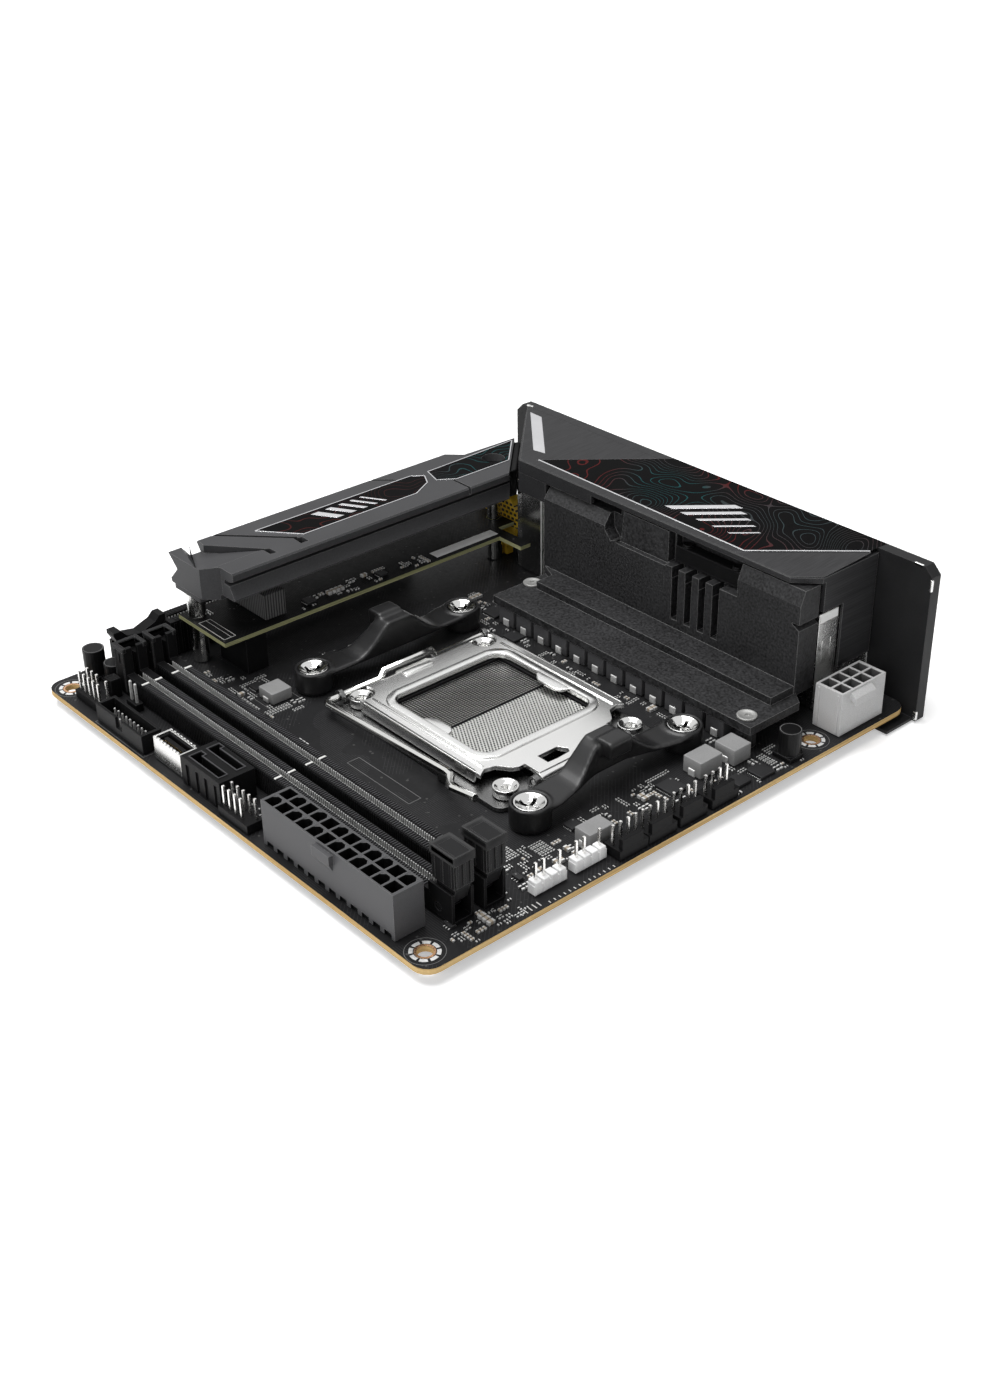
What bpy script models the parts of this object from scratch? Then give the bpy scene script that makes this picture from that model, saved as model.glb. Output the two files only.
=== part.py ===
"""Mini-ITX desktop motherboard, built as separate sub-parts.

Shapes are given in millimetres in the board frame: u runs along the front edge (+X), v from the front edge
to the rear panel (+Y), and w is height above the board's top face. The empty "board_datum" carries that
frame, so the finished object sits on z = 0 with its bounding box centred on the Z axis.
"""

import bpy
import bmesh
from math import cos, pi, radians, sin
from mathutils import Matrix, Vector

MM = 0.001
GAP = 0.3
WELD = 1e-6
OVER = 0.6
ROUND = 24
SMOOTH_ANGLE = radians(35)

# Board
BOARD_SIDE = 170.0
BOARD_THICK = 1.6
BOARD_CORNER = 4.5
MOUNT_HOLES = ((6.35, 5.08), (163.65, 5.08), (163.65, 136.98), (6.35, 159.84))
MOUNT_HOLE_R = 1.98
REST_DEPTH = 4.14
OVERALL_U = 172.6
OVERALL_V = 174.0

# CPU socket
SOCKET_U, SOCKET_V = 98.0, 82.1
SOCKET_SIDE = 44.0
SOCKET_TOP = 3.4
FIELD_SIDE = 38.5
FIELD_FLOOR = 2.4
FRAME_TOP = 1.5
FRAME_LOW, FRAME_HIGH = (63.0, 52.5), (135.0, 108.0)
SOCKET_SCREWS = ((70.5, 58.6), (130.2, 58.6), (70.5, 102.7), (130.2, 102.7))
SOCKET_HEAD_R = 2.95
SOCKET_SHANK_R = 1.4
PLATE_LOW, PLATE_TOP = 3.8, 5.0
WINDOW_SIDE = 38.0
HINGE_U, HINGE_W = 132.6, 2.9
HINGE_R = 1.6
HINGE_PIN_R = 0.8
HINGE_V = (67.5, 97.5)
LEVER_U, LEVER_W = 66.0, 3.6
LEVER_R = 1.0
LEVER_ARM_V = 49.5

# Cooler brackets
BRACKET_U = (52.8, 142.8)
BRACKET_V = (55.5, 109.5)
BOSS_R = 5.4
BOSS_TOP = 7.2
BOSS_WELL_R = 4.4
BOSS_FLOOR = 4.4
ARM_HALF = 5.2
ARM_UNDER = 5.2
ARM_TOP = 14.4
BRACKET_SHANK_R = 1.7

# Heatsinks and I/O cover
VRM_LEGS = ((58.7, 132.3), (153.4, 122.4))
VRM_BASE = (6.2, 8.6)
BLOCK_FRONT, BLOCK_BACK = 140.0, 147.6
COVER_TOP = 41.0
COVER_UNDER = 39.5
COVER_WALL = 1.4
SHIELD_V = (170.3, 171.1)
SHIELD_SHEET = 0.8
SHIELD_U = (9.6, 172.6)
SHIELD_TOP = 42.2

# M.2 riser and its heatsink
RISER_W = (12.8, 14.0)
FRONT_POST = (17.0, 41.4)
REAR_POST = (24.0, 147.3)
M2_TOP = 34.0
M2_UNDER = 24.0
M2_NOSE_UNDER = 22.0

# Slots and headers
DIMM_V = (18.2, 27.8)
DIMM_HALF = 3.25
DIMM_TOP = 6.5
DIMM_PIVOT = (156.5, 3.5)
PCIE_U = 7.0
PCIE_HALF = 3.75
PCIE_TOP = 11.2
PCIE_PIVOT = (23.0, 7.5)
PIN_PITCH = 2.54
PIN_HALF = 0.32
PIN_TOP = 8.6
CELL_PITCH = 4.2
CELL_HALF = 1.8
POWER_TOP = 13.1
PORT_FRONT = 173.0


def clear_scene():
    for old in list(bpy.data.objects):
        bpy.data.objects.remove(old)


def collection(name):
    made = bpy.data.collections.new(name)
    bpy.context.scene.collection.children.link(made)
    return made


def finish(name, colour, roughness, metallic):
    made = bpy.data.materials.new(name)
    made.use_nodes = True
    shader = made.node_tree.nodes["Principled BSDF"]
    shader.inputs["Base Color"].default_value = (*colour, 1.0)
    shader.inputs["Roughness"].default_value = roughness
    shader.inputs["Metallic"].default_value = metallic
    made.diffuse_color = (*colour, 1.0)
    return made


clear_scene()
PARTS = collection("motherboard")
CUTTERS = collection("cutters")
CUTTERS.hide_render = True
DATUM = bpy.data.objects.new("board_datum", None)
DATUM.location = Vector((-OVERALL_U / 2, -OVERALL_V / 2, REST_DEPTH)) * MM
PARTS.objects.link(DATUM)

SOLDER_MASK = finish("solder_mask", (0.030, 0.030, 0.033), 0.55, 0.0)
BLACK_STEEL = finish("black_steel", (0.040, 0.040, 0.042), 0.45, 0.6)
NICKEL = finish("nickel_steel", (0.72, 0.71, 0.69), 0.25, 1.0)
TIN = finish("tin_shell", (0.66, 0.66, 0.66), 0.32, 1.0)
BLACK_PLASTIC = finish("black_plastic", (0.025, 0.025, 0.026), 0.5, 0.0)
GREY_PLASTIC = finish("grey_plastic", (0.30, 0.30, 0.30), 0.5, 0.0)
WHITE_PLASTIC = finish("white_plastic", (0.75, 0.75, 0.73), 0.5, 0.0)
COVER_PLASTIC = finish("cover_plastic", (0.035, 0.036, 0.040), 0.4, 0.0)
CHARCOAL = finish("charcoal_aluminium", (0.050, 0.052, 0.058), 0.45, 0.7)
CAN = finish("can_aluminium", (0.62, 0.62, 0.62), 0.3, 1.0)
CELL_WRAP = finish("cell_wrap", (0.80, 0.55, 0.06), 0.5, 0.0)


def circle(centre, radius, sides=ROUND):
    turns = [2 * pi * i / sides for i in range(sides)]
    return [(centre[0] + radius * cos(a), centre[1] + radius * sin(a)) for a in turns]


def arc(centre, radius, start, end, steps):
    turns = [radians(start + (end - start) * i / steps) for i in range(steps + 1)]
    return [(centre[0] + radius * cos(a), centre[1] + radius * sin(a)) for a in turns]


def rounded_rect(low, high, radius, steps=5):
    """A rectangle's outline, anticlockwise, with each corner an arc."""
    points = []
    corners = ((low[0], low[1], 180), (high[0], low[1], 270), (high[0], high[1], 0), (low[0], high[1], 90))
    for a, b, start in corners:
        centre = (a + radius if a == low[0] else a - radius, b + radius if b == low[1] else b - radius)
        points += arc(centre, radius, start, start + 90, steps)
    return points


def square(centre, side):
    half = side / 2
    return (centre[0] - half, centre[1] - half), (centre[0] + half, centre[1] + half)


def welded(mesh):
    work = bmesh.new()
    work.from_mesh(mesh)
    bmesh.ops.remove_doubles(work, verts=work.verts, dist=WELD)
    bmesh.ops.recalc_face_normals(work, faces=work.faces)
    work.to_mesh(mesh)
    work.free()
    return mesh


def mesh_of_curve(curve):
    holder = bpy.data.objects.new("outline", curve)
    bpy.context.scene.collection.objects.link(holder)
    graph = bpy.context.evaluated_depsgraph_get()
    mesh = bpy.data.meshes.new_from_object(holder.evaluated_get(graph))
    bpy.data.objects.remove(holder)
    bpy.data.curves.remove(curve)
    return welded(mesh)


def prism(loops, plane, low, high):
    """Outlines drawn in a plane, the first round the outside and the rest round holes, given depth."""
    curve = bpy.data.curves.new("outline", "CURVE")
    curve.dimensions = "2D"
    curve.fill_mode = "BOTH"
    curve.extrude = (high - low) / 2 * MM
    for loop in loops:
        spline = curve.splines.new("POLY")
        spline.points.add(len(loop) - 1)
        for point, (a, b) in zip(spline.points, loop):
            point.co = (a * MM, b * MM, 0.0, 1.0)
        spline.use_cyclic_u = True
    mesh = mesh_of_curve(curve)
    mesh.transform(Matrix.Translation((0.0, 0.0, (low + high) / 2 * MM)))
    if plane == "uw":
        mesh.transform(Matrix(((1, 0, 0, 0), (0, 0, 1, 0), (0, 1, 0, 0), (0, 0, 0, 1))))
        mesh.flip_normals()
    if plane == "vw":
        mesh.transform(Matrix(((0, 0, 1, 0), (1, 0, 0, 0), (0, 1, 0, 0), (0, 0, 0, 1))))
    return mesh


def boxes(*spans):
    """One mesh of separate boxes, each (u0, u1, v0, v1, w0, w1)."""
    work = bmesh.new()
    for u0, u1, v0, v1, w0, w1 in spans:
        made = bmesh.ops.create_cube(work, size=1.0)["verts"]
        bmesh.ops.scale(work, vec=Vector((u1 - u0, v1 - v0, w1 - w0)) * MM, verts=made)
        bmesh.ops.translate(work, vec=Vector((u0 + u1, v0 + v1, w0 + w1)) * MM / 2, verts=made)
    mesh = bpy.data.meshes.new("boxes")
    work.to_mesh(mesh)
    work.free()
    return mesh


def rod(start, end, radius, sides=ROUND):
    """A cylinder between two points."""
    start, end = Vector(start) * MM, Vector(end) * MM
    turn = (end - start).to_track_quat("Z", "Y").to_matrix().to_4x4()
    work = bmesh.new()
    bmesh.ops.create_cone(
        work,
        cap_ends=True,
        segments=sides,
        radius1=radius * MM,
        radius2=radius * MM,
        depth=(end - start).length,
        matrix=Matrix.Translation((start + end) / 2) @ turn,
    )
    mesh = bpy.data.meshes.new("rod")
    work.to_mesh(mesh)
    work.free()
    return mesh


def wire(points, radius):
    """A round wire bent along the points."""
    curve = bpy.data.curves.new("wire", "CURVE")
    curve.dimensions = "3D"
    curve.bevel_depth = radius * MM
    curve.bevel_resolution = 2
    curve.use_fill_caps = True
    spline = curve.splines.new("POLY")
    spline.points.add(len(points) - 1)
    for point, place in zip(spline.points, points):
        point.co = (*(Vector(place) * MM), 1.0)
    return mesh_of_curve(curve)


def part(name, mesh, look, pivot=(0.0, 0.0, 0.0)):
    """One sub-part, named, finished and hung from the datum with its origin on pivot."""
    mesh.transform(Matrix.Translation(-Vector(pivot) * MM))
    mesh.name = name
    mesh.materials.clear()
    mesh.materials.append(look)
    made = bpy.data.objects.new(name, mesh)
    made.parent = DATUM
    made.location = Vector(pivot) * MM
    PARTS.objects.link(made)
    return made


def boolean(target, mesh, operation):
    tool = bpy.data.objects.new(f"{target.name}_tool", mesh)
    tool.parent = DATUM
    tool.hide_render = True
    tool.display_type = "WIRE"
    CUTTERS.objects.link(tool)
    modifier = target.modifiers.new(operation.lower(), "BOOLEAN")
    modifier.operation = operation
    modifier.solver = "EXACT"
    modifier.object = tool


def cut(target, *meshes):
    for mesh in meshes:
        boolean(target, mesh, "DIFFERENCE")


def join(target, *meshes):
    for mesh in meshes:
        boolean(target, mesh, "UNION")


def smooth(target):
    target.data.shade_smooth()
    target.data.set_sharp_from_angle(angle=SMOOTH_ANGLE)


def screw(name, place, seat, head_r, head_h, shank_r, tip, recess_r, look):
    """A machine screw standing on seat, with a hexagonal drive recess and a shank down to tip."""
    u, v = place
    made = part(name, rod((u, v, seat), (u, v, seat + head_h), head_r), look)
    join(made, rod((u, v, tip), (u, v, seat + OVER), shank_r, ROUND // 2))
    cut(made, rod((u, v, seat + head_h / 2), (u, v, seat + head_h + OVER), recess_r, 6))
    smooth(made)


def pin_row(columns, rows, top, skip=()):
    """Square pins on the given columns and rows, standing in a base."""
    spans = []
    for i, u in enumerate(columns):
        for j, v in enumerate(rows):
            if (i, j) not in skip:
                spans.append((u - PIN_HALF, u + PIN_HALF, v - PIN_HALF, v + PIN_HALF, 1.0, top))
    return boxes(*spans)


def build_board():
    loops = [rounded_rect((0.0, 0.0), (BOARD_SIDE, BOARD_SIDE), BOARD_CORNER)]
    loops += [circle(hole, MOUNT_HOLE_R) for hole in MOUNT_HOLES]
    loops += [circle((u, v), BRACKET_SHANK_R + 2 * GAP) for u in BRACKET_U for v in BRACKET_V]
    loops += [circle(hole, SOCKET_SHANK_R + 2 * GAP) for hole in SOCKET_SCREWS]
    part("main_pcb", prism(loops, "uv", -BOARD_THICK, 0.0), SOLDER_MASK)


def build_backplate():
    centre = (sum(BRACKET_U) / 2, sum(BRACKET_V) / 2)
    half_u, half_v, corner = 52.0, 34.0, 6.0
    low, high = (centre[0] - half_u, centre[1] - half_v), (centre[0] + half_u, centre[1] + half_v)
    loops = [rounded_rect(low, high, corner)]
    loops += [circle((u, v), BRACKET_SHANK_R + GAP) for u in BRACKET_U for v in BRACKET_V]
    loops += [circle(hole, SOCKET_SHANK_R + GAP) for hole in SOCKET_SCREWS]
    part("socket_backplate", prism(loops, "uv", -REST_DEPTH, -BOARD_THICK - GAP), BLACK_STEEL)


def build_socket_body():
    low, high = square((SOCKET_U, SOCKET_V), SOCKET_SIDE)
    body = part("socket_body", prism([rounded_rect(low, high, 1.5)], "uv", GAP, SOCKET_TOP), BLACK_PLASTIC)
    low, high = square((SOCKET_U, SOCKET_V), FIELD_SIDE)
    cut(body, boxes((low[0], high[0], low[1], high[1], FIELD_FLOOR, SOCKET_TOP + OVER)))


def build_socket_frame():
    lever_ears, lever_ear, hinge_ears, hinge_ear = (54.2, 106.0), 1.2, (65.6, 97.8), 1.6
    low, high = square((SOCKET_U, SOCKET_V), SOCKET_SIDE + 1.0)
    loops = [rounded_rect(FRAME_LOW, FRAME_HIGH, 3.0), rounded_rect(low, high, 1.0)]
    loops += [circle(hole, SOCKET_SHANK_R + GAP) for hole in SOCKET_SCREWS]
    slot_low = (HINGE_U - HINGE_R - OVER, HINGE_V[0])
    slot_high = (HINGE_U + HINGE_R + OVER, HINGE_V[1])
    loops.append(rounded_rect(slot_low, slot_high, 0.4, 2))
    frame = part("socket_frame", prism(loops, "uv", GAP, FRAME_TOP), NICKEL)
    for v in lever_ears:
        ear = arc((LEVER_U, LEVER_W), 1.9, 0, 180, 8) + [(64.1, GAP + 0.1), (67.9, GAP + 0.1)]
        join(frame, prism([ear, circle((LEVER_U, LEVER_W), LEVER_R + GAP)], "uw", v, v + lever_ear))
    for v in hinge_ears:
        ear = arc((HINGE_U, HINGE_W), 1.7, 0, 180, 8) + [(130.9, GAP + 0.1), (134.3, GAP + 0.1)]
        join(frame, prism([ear, circle((HINGE_U, HINGE_W), HINGE_PIN_R + GAP)], "uw", v, v + hinge_ear))
    join(frame, boxes((112.0, 116.0, 51.2, 53.4, GAP + 0.1, FRAME_TOP - 0.1)))
    join(frame, boxes((112.0, 116.0, 51.2, 52.4, GAP + 0.2, 5.0)))


def build_load_plate():
    """The hinged frame that clamps the processor. Its origin lies on the hinge axis."""
    notch = 3.75
    narrow, wide, step = (68.0, 97.0), (56.0, 107.5), 127.0
    left, tongue = 68.6, 67.4
    outline = [(left, wide[0]), (step, wide[0]), (step, narrow[0]), (HINGE_U, narrow[0])]
    outline += [(HINGE_U, narrow[1]), (step, narrow[1]), (step, wide[1]), (left, wide[1])]
    outline += [(left, 85.0), (tongue, 84.0), (tongue, 73.0), (left, 72.0)]
    low, high = square((SOCKET_U, SOCKET_V), WINDOW_SIDE)
    loops = [outline, rounded_rect(low, high, 3.5)]
    pivot = (HINGE_U, SOCKET_V, HINGE_W)
    plate = part("socket_load_plate", prism(loops, "uv", PLATE_LOW, PLATE_TOP), NICKEL, pivot)
    for u, v in SOCKET_SCREWS:
        cut(plate, rod((u, v, PLATE_LOW - OVER), (u, v, PLATE_TOP + OVER), notch))
    low_v, high_v = HINGE_V[0] + GAP, HINGE_V[1] - GAP
    join(plate, rod((HINGE_U, low_v, HINGE_W), (HINGE_U, high_v, HINGE_W), HINGE_R, 16))
    pin = 2.0
    join(plate, rod((HINGE_U, low_v - pin, HINGE_W), (HINGE_U, low_v + OVER, HINGE_W), HINGE_PIN_R, 12))
    join(plate, rod((HINGE_U, high_v - OVER, HINGE_W), (HINGE_U, high_v + pin, HINGE_W), HINGE_PIN_R, 12))


def build_lever():
    """The bent wire that holds the load plate down. Its origin lies on the turning part."""
    crank_v, crank_up = (70.0, 87.0), 2.2
    high, low = LEVER_W + crank_up, LEVER_W
    path = [(LEVER_U, 108.2, low), (LEVER_U, crank_v[1] + 1.5, low), (LEVER_U, crank_v[1], high)]
    path += [(LEVER_U, crank_v[0], high), (LEVER_U, crank_v[0] - 1.5, low), (LEVER_U, LEVER_ARM_V + 2.0, low)]
    path += [(LEVER_U + 0.6, LEVER_ARM_V + 0.6, low), (LEVER_U + 2.0, LEVER_ARM_V, low)]
    path += [(113.0, LEVER_ARM_V, low), (115.0, LEVER_ARM_V - 0.4, low), (117.6, 47.2, low)]
    path += [(119.6, 46.6, low + 0.2), (128.0, 46.6, low + 1.6)]
    lever = part("socket_lever", wire(path, LEVER_R), NICKEL, (LEVER_U, LEVER_ARM_V, LEVER_W))
    smooth(lever)


def build_socket_screws():
    for i, place in enumerate(SOCKET_SCREWS, 1):
        seat, head, tip, drive = FRAME_TOP + GAP, 2.4, -3.6, 1.5
        screw(f"socket_screw_{i}", place, seat, SOCKET_HEAD_R, head, SOCKET_SHANK_R, tip, drive, TIN)


def bracket_arm():
    """Side outline of the arm: a flat underside and a bell-shaped top."""
    middle, reach, foot, steps = sum(BRACKET_V) / 2, 15.5, 6.6, 16
    points = [(middle - 26.0, ARM_UNDER), (middle + 26.0, ARM_UNDER), (middle + 26.0, foot)]
    for i in range(steps + 1):
        t = 1 - 2 * i / steps
        lift = min(1.0, 1.18 * (0.5 + 0.5 * cos(pi * t)))
        points.append((middle + reach * t, foot + (ARM_TOP - foot) * lift))
    points.append((middle - 26.0, foot))
    return points


def bracket_waist(u, outward):
    """Plan of what is cut from the outer side of an arm, to draw it in towards its middle."""
    middle = sum(BRACKET_V) / 2
    bow = ((21.0, ARM_HALF), (14.0, 3.4), (8.0, 1.4), (4.6, 0.7))
    near = [(u + outward * across, middle - along) for along, across in bow]
    far = [(u + outward * across, middle + along) for along, across in reversed(bow)]
    rim = u + outward * (ARM_HALF + OVER)
    return near + far + [(rim, middle + bow[0][0]), (rim, middle - bow[0][0])]


def build_brackets():
    """Each cooler bracket: two bosses with sunk screws, an arched arm and a clip lug on its outer side."""
    middle, lug_half, lug_reach, lug_low, lug_top = sum(BRACKET_V) / 2, 4.0, 4.6, 10.6, 15.4
    for name, u, outward in zip(("left", "right"), BRACKET_U, (-1, 1)):
        arm = prism([bracket_arm()], "vw", u - ARM_HALF, u + ARM_HALF)
        bracket = part(f"cooler_bracket_{name}", arm, BLACK_PLASTIC)
        cut(bracket, prism([bracket_waist(u, outward)], "uv", ARM_UNDER - OVER, ARM_TOP + OVER))
        ends = sorted((u - outward, u + outward * lug_reach))
        join(bracket, boxes((*ends, middle - lug_half, middle + lug_half, lug_low, lug_top)))
        for v in BRACKET_V:
            join(bracket, rod((u, v, GAP), (u, v, BOSS_TOP), BOSS_R))
        for v in BRACKET_V:
            cut(bracket, rod((u, v, BOSS_FLOOR), (u, v, BOSS_TOP + 2 * OVER), BOSS_WELL_R))
            cut(bracket, rod((u, v, -OVER), (u, v, BOSS_TOP), BRACKET_SHANK_R + GAP))
    number = 0
    for u in BRACKET_U:
        for v in BRACKET_V:
            number += 1
            seat, head_r, head, tip, drive = BOSS_FLOOR + GAP, BOSS_WELL_R - 0.4, 2.0, -3.6, 1.9
            screw(f"bracket_screw_{number}", (u, v), seat, head_r, head, BRACKET_SHANK_R, tip, drive, TIN)


def build_vrm_heatsink():
    """Finned block with a stepped foot over the power stages, standing on two screwed legs."""
    left, right, split = 55.5, 154.3, 84.0
    high = [(BLOCK_FRONT, 8.0), (BLOCK_BACK, 8.0), (BLOCK_BACK, 38.9), (141.7, 38.9), (BLOCK_FRONT, 34.8)]
    low = [(BLOCK_FRONT, 8.0), (BLOCK_BACK, 8.0), (BLOCK_BACK, 36.2), (142.6, 36.2), (BLOCK_FRONT, 33.0)]
    sink = part("vrm_heatsink", prism([high], "vw", split, right), CHARCOAL)
    join(sink, prism([low], "vw", left, split + OVER))
    base = [(56.5, 118.7), (158.0, 118.7), (158.0, 138.0), (154.0, 141.0), (56.5, 141.0)]
    join(sink, prism([base], "uv", *VRM_BASE))
    step = [(62.0, 131.0), (154.0, 131.0), (154.0, 141.5), (56.2, 141.5), (56.2, 139.8), (62.0, 137.2)]
    join(sink, prism([step], "uv", VRM_BASE[1] - OVER, 11.0))
    for u, v in VRM_LEGS:
        join(sink, rod((u, v, GAP), (u, v, VRM_BASE[0] + OVER), 2.8))
    scoop = [(80.6, 40.0), (81.4, 31.6), (83.8, 29.0), (86.4, 30.4), (87.4, 40.0)]
    cut(sink, prism([scoop], "uw", BLOCK_FRONT - OVER, 144.0))
    cut(sink, boxes((86.0, 105.0 + OVER, BLOCK_FRONT - OVER, 141.7, 29.2, 40.0)))
    cut(sink, boxes((105.0, 132.4, BLOCK_FRONT - OVER, 144.5, 29.6, 40.0)))
    slots = [109.5 + 5.1 * i for i in range(4)]
    cut(sink, boxes(*[(u - 1.2, u + 1.2, BLOCK_FRONT - OVER, 145.0, 13.6, 26.4) for u in slots]))
    for i, (u, v) in enumerate(VRM_LEGS, 1):
        cut(sink, rod((u, v, -OVER), (u, v, VRM_BASE[1] + OVER), 1.7, ROUND // 2))
        seat, head_r, head, shank_r, tip, drive = VRM_BASE[1] + GAP, 2.7, 0.7, 1.4, 0.6, 1.3
        screw(f"heatsink_screw_{i}", (u, v), seat, head_r, head, shank_r, tip, drive, TIN)


def cover_outline(inset):
    """Outline of the I/O cover from above, drawn in by inset on its four front sides."""
    slant = inset * 0.41
    return [
        (14.4 + inset * 1.41, 170.0),
        (42.6 + slant, 141.4 + inset),
        (148.9 - slant, 141.4 + inset),
        (155.2 - inset, 147.4 + slant),
        (155.2 - inset, 170.0),
    ]


def build_io_cover():
    foot, lip, lip_end, clear_v = 30.6, 37.0, 74.0, 148.5
    cover = part("io_cover", prism([cover_outline(0.0)], "uv", foot, COVER_TOP), COVER_PLASTIC)
    inner = cover_outline(COVER_WALL)
    inner[0], inner[-1] = (inner[0][0] - OVER, 170.0 + OVER), (inner[-1][0], 170.0 + OVER)
    cut(cover, prism([inner], "uv", foot - OVER, COVER_UNDER))
    cut(cover, boxes((lip_end, 157.0, 140.0, clear_v, foot - 2 * OVER, COVER_UNDER - 0.01)))
    cut(cover, boxes((34.0, lip_end + OVER, 140.0, clear_v, foot - 2 * OVER, lip)))
    skirt_low, skirt_front, skirt_sheet = 11.0, 156.6, 0.7
    join(cover, boxes((155.2 - skirt_sheet, 155.2, skirt_front, 170.0, skirt_low, foot + OVER)))


LAN_U, USB_1_U, HDMI_U, USB_2_U = (34.0, 50.0), (139.8, 154.2), (118.0, 134.0), (92.0, 106.4)
ANTENNA_U, AUDIO_U = (62.0, 80.0), (15.0, 31.0)
STACK_TOP, HDMI_TOP, LOW_PORT_TOP = 29.5, 24.0, 13.2
BUTTONS = ((122.6, 18.6), (129.4, 18.6))
BUTTON_R = 2.1
SHIELD_PORTS = (
    (LAN_U, STACK_TOP),
    (USB_1_U, STACK_TOP),
    (HDMI_U, HDMI_TOP),
    (USB_2_U, STACK_TOP),
    (ANTENNA_U, LOW_PORT_TOP),
    (AUDIO_U, LOW_PORT_TOP),
)


def shield_outline(inset):
    chamfer = 2.6
    u0, u1 = SHIELD_U[0] + inset, SHIELD_U[1] - inset
    low, high = -REST_DEPTH + inset, SHIELD_TOP - inset
    shoulder = high - chamfer
    return [(u0, low), (u1, low), (u1, shoulder), (u1 - chamfer, high), (u0 + chamfer, high), (u0, shoulder)]


def build_io_shield():
    """Pressed plate with a rim turned out to the rear, port windows and a spring tab under the board."""
    shield = part("io_shield", prism([shield_outline(0.0)], "uw", SHIELD_V[0], OVERALL_V), BLACK_STEEL)
    cut(shield, prism([shield_outline(SHIELD_SHEET)], "uw", SHIELD_V[1], OVERALL_V + OVER))
    spans = []
    for (u0, u1), top in SHIELD_PORTS:
        spans.append((u0 - GAP, u1 + GAP, SHIELD_V[0] - OVER, SHIELD_V[1] + OVER, 0.0, top + GAP))
    cut(shield, boxes(*spans))
    tab = (158.0, 171.6, 159.2, 170.9, -REST_DEPTH + 0.02, -REST_DEPTH + SHIELD_SHEET)
    join(shield, boxes(tab))


def port_block(name, span, back, top, sockets, look):
    """A rear connector: a shell with openings sunk in from its rear face, each (u0, u1, w0, w1, depth)."""
    block = part(name, boxes((span[0], span[1], back, PORT_FRONT, GAP, top)), look)
    spans = []
    for u0, u1, w0, w1, depth in sockets:
        spans.append((span[0] + u0, span[0] + u1, PORT_FRONT - depth, PORT_FRONT + OVER, w0, w1))
    cut(block, boxes(*spans))
    return block


def build_rear_ports():
    usb_pair = [(0.7, 13.7, w, w + 5.6, 9.0) for w in (1.6, 8.4)]
    usb_four = usb_pair + [(0.7, 13.7, w, w + 5.6, 9.0) for w in (15.4, 22.2)]
    jack = (1.9, 14.1, 16.4, 27.6, 13.0)
    port_block("lan_usb_stack", LAN_U, 148.5, STACK_TOP, usb_pair + [jack], TIN)
    port_block("usb_stack_1", USB_1_U, 148.4, STACK_TOP, usb_four, TIN)
    port_block("usb_stack_2", USB_2_U, 152.0, STACK_TOP, usb_four, TIN)
    screen, vent, groove = (0.6, 15.4, 1.6, 6.6, 9.0), (1.2, 16.8, 1.4, 2.6, 3.0), (1.0, 15.0, 1.0, 1.8, 1.0)
    hdmi = port_block("hdmi_button_block", HDMI_U, 152.0, HDMI_TOP, [screen], BLACK_PLASTIC)
    antenna = port_block("antenna_module", ANTENNA_U, 158.0, LOW_PORT_TOP, [vent], TIN)
    audio = port_block("audio_jack_block", AUDIO_U, 157.0, LOW_PORT_TOP, [groove], BLACK_PLASTIC)
    for u in (4.6, 13.4):
        place = ANTENNA_U[0] + u
        cut(antenna, rod((place, 166.0, 8.0), (place, PORT_FRONT + OVER, 8.0), 3.1))
    for u in (4.0, 12.0):
        place = AUDIO_U[0] + u
        cut(audio, rod((place, 163.0, 7.4), (place, PORT_FRONT + OVER, 7.4), 2.6))
    for name, (u, w) in zip(("firmware_button", "reset_button"), BUTTONS):
        cut(hdmi, rod((u, 166.6, w), (u, PORT_FRONT + OVER, w), BUTTON_R + GAP))
        inner, face = (u, 168.2, w), (u, OVERALL_V - 0.1, w)
        plunger = part(name, rod(inner, face, BUTTON_R), BLACK_PLASTIC, inner)
        cut(plunger, rod((u, OVERALL_V - 0.4, w), (u, OVERALL_V + OVER, w), BUTTON_R - 0.7))
        smooth(plunger)


def m2_section():
    """Cross-section of the M.2 heatsink in the u-w plane: flanged on the right, notched on the left."""
    return [
        (35.4, M2_UNDER),
        (36.3, 24.8),
        (36.3, 26.0),
        (34.3, 29.4),
        (34.3, 30.8),
        (36.3, 31.6),
        (36.3, 33.5),
        (35.8, M2_TOP),
        (11.6, M2_TOP),
        (10.5, 33.2),
        (14.6, 29.2),
        (10.7, 25.2),
        (10.9, M2_UNDER),
    ]


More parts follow.
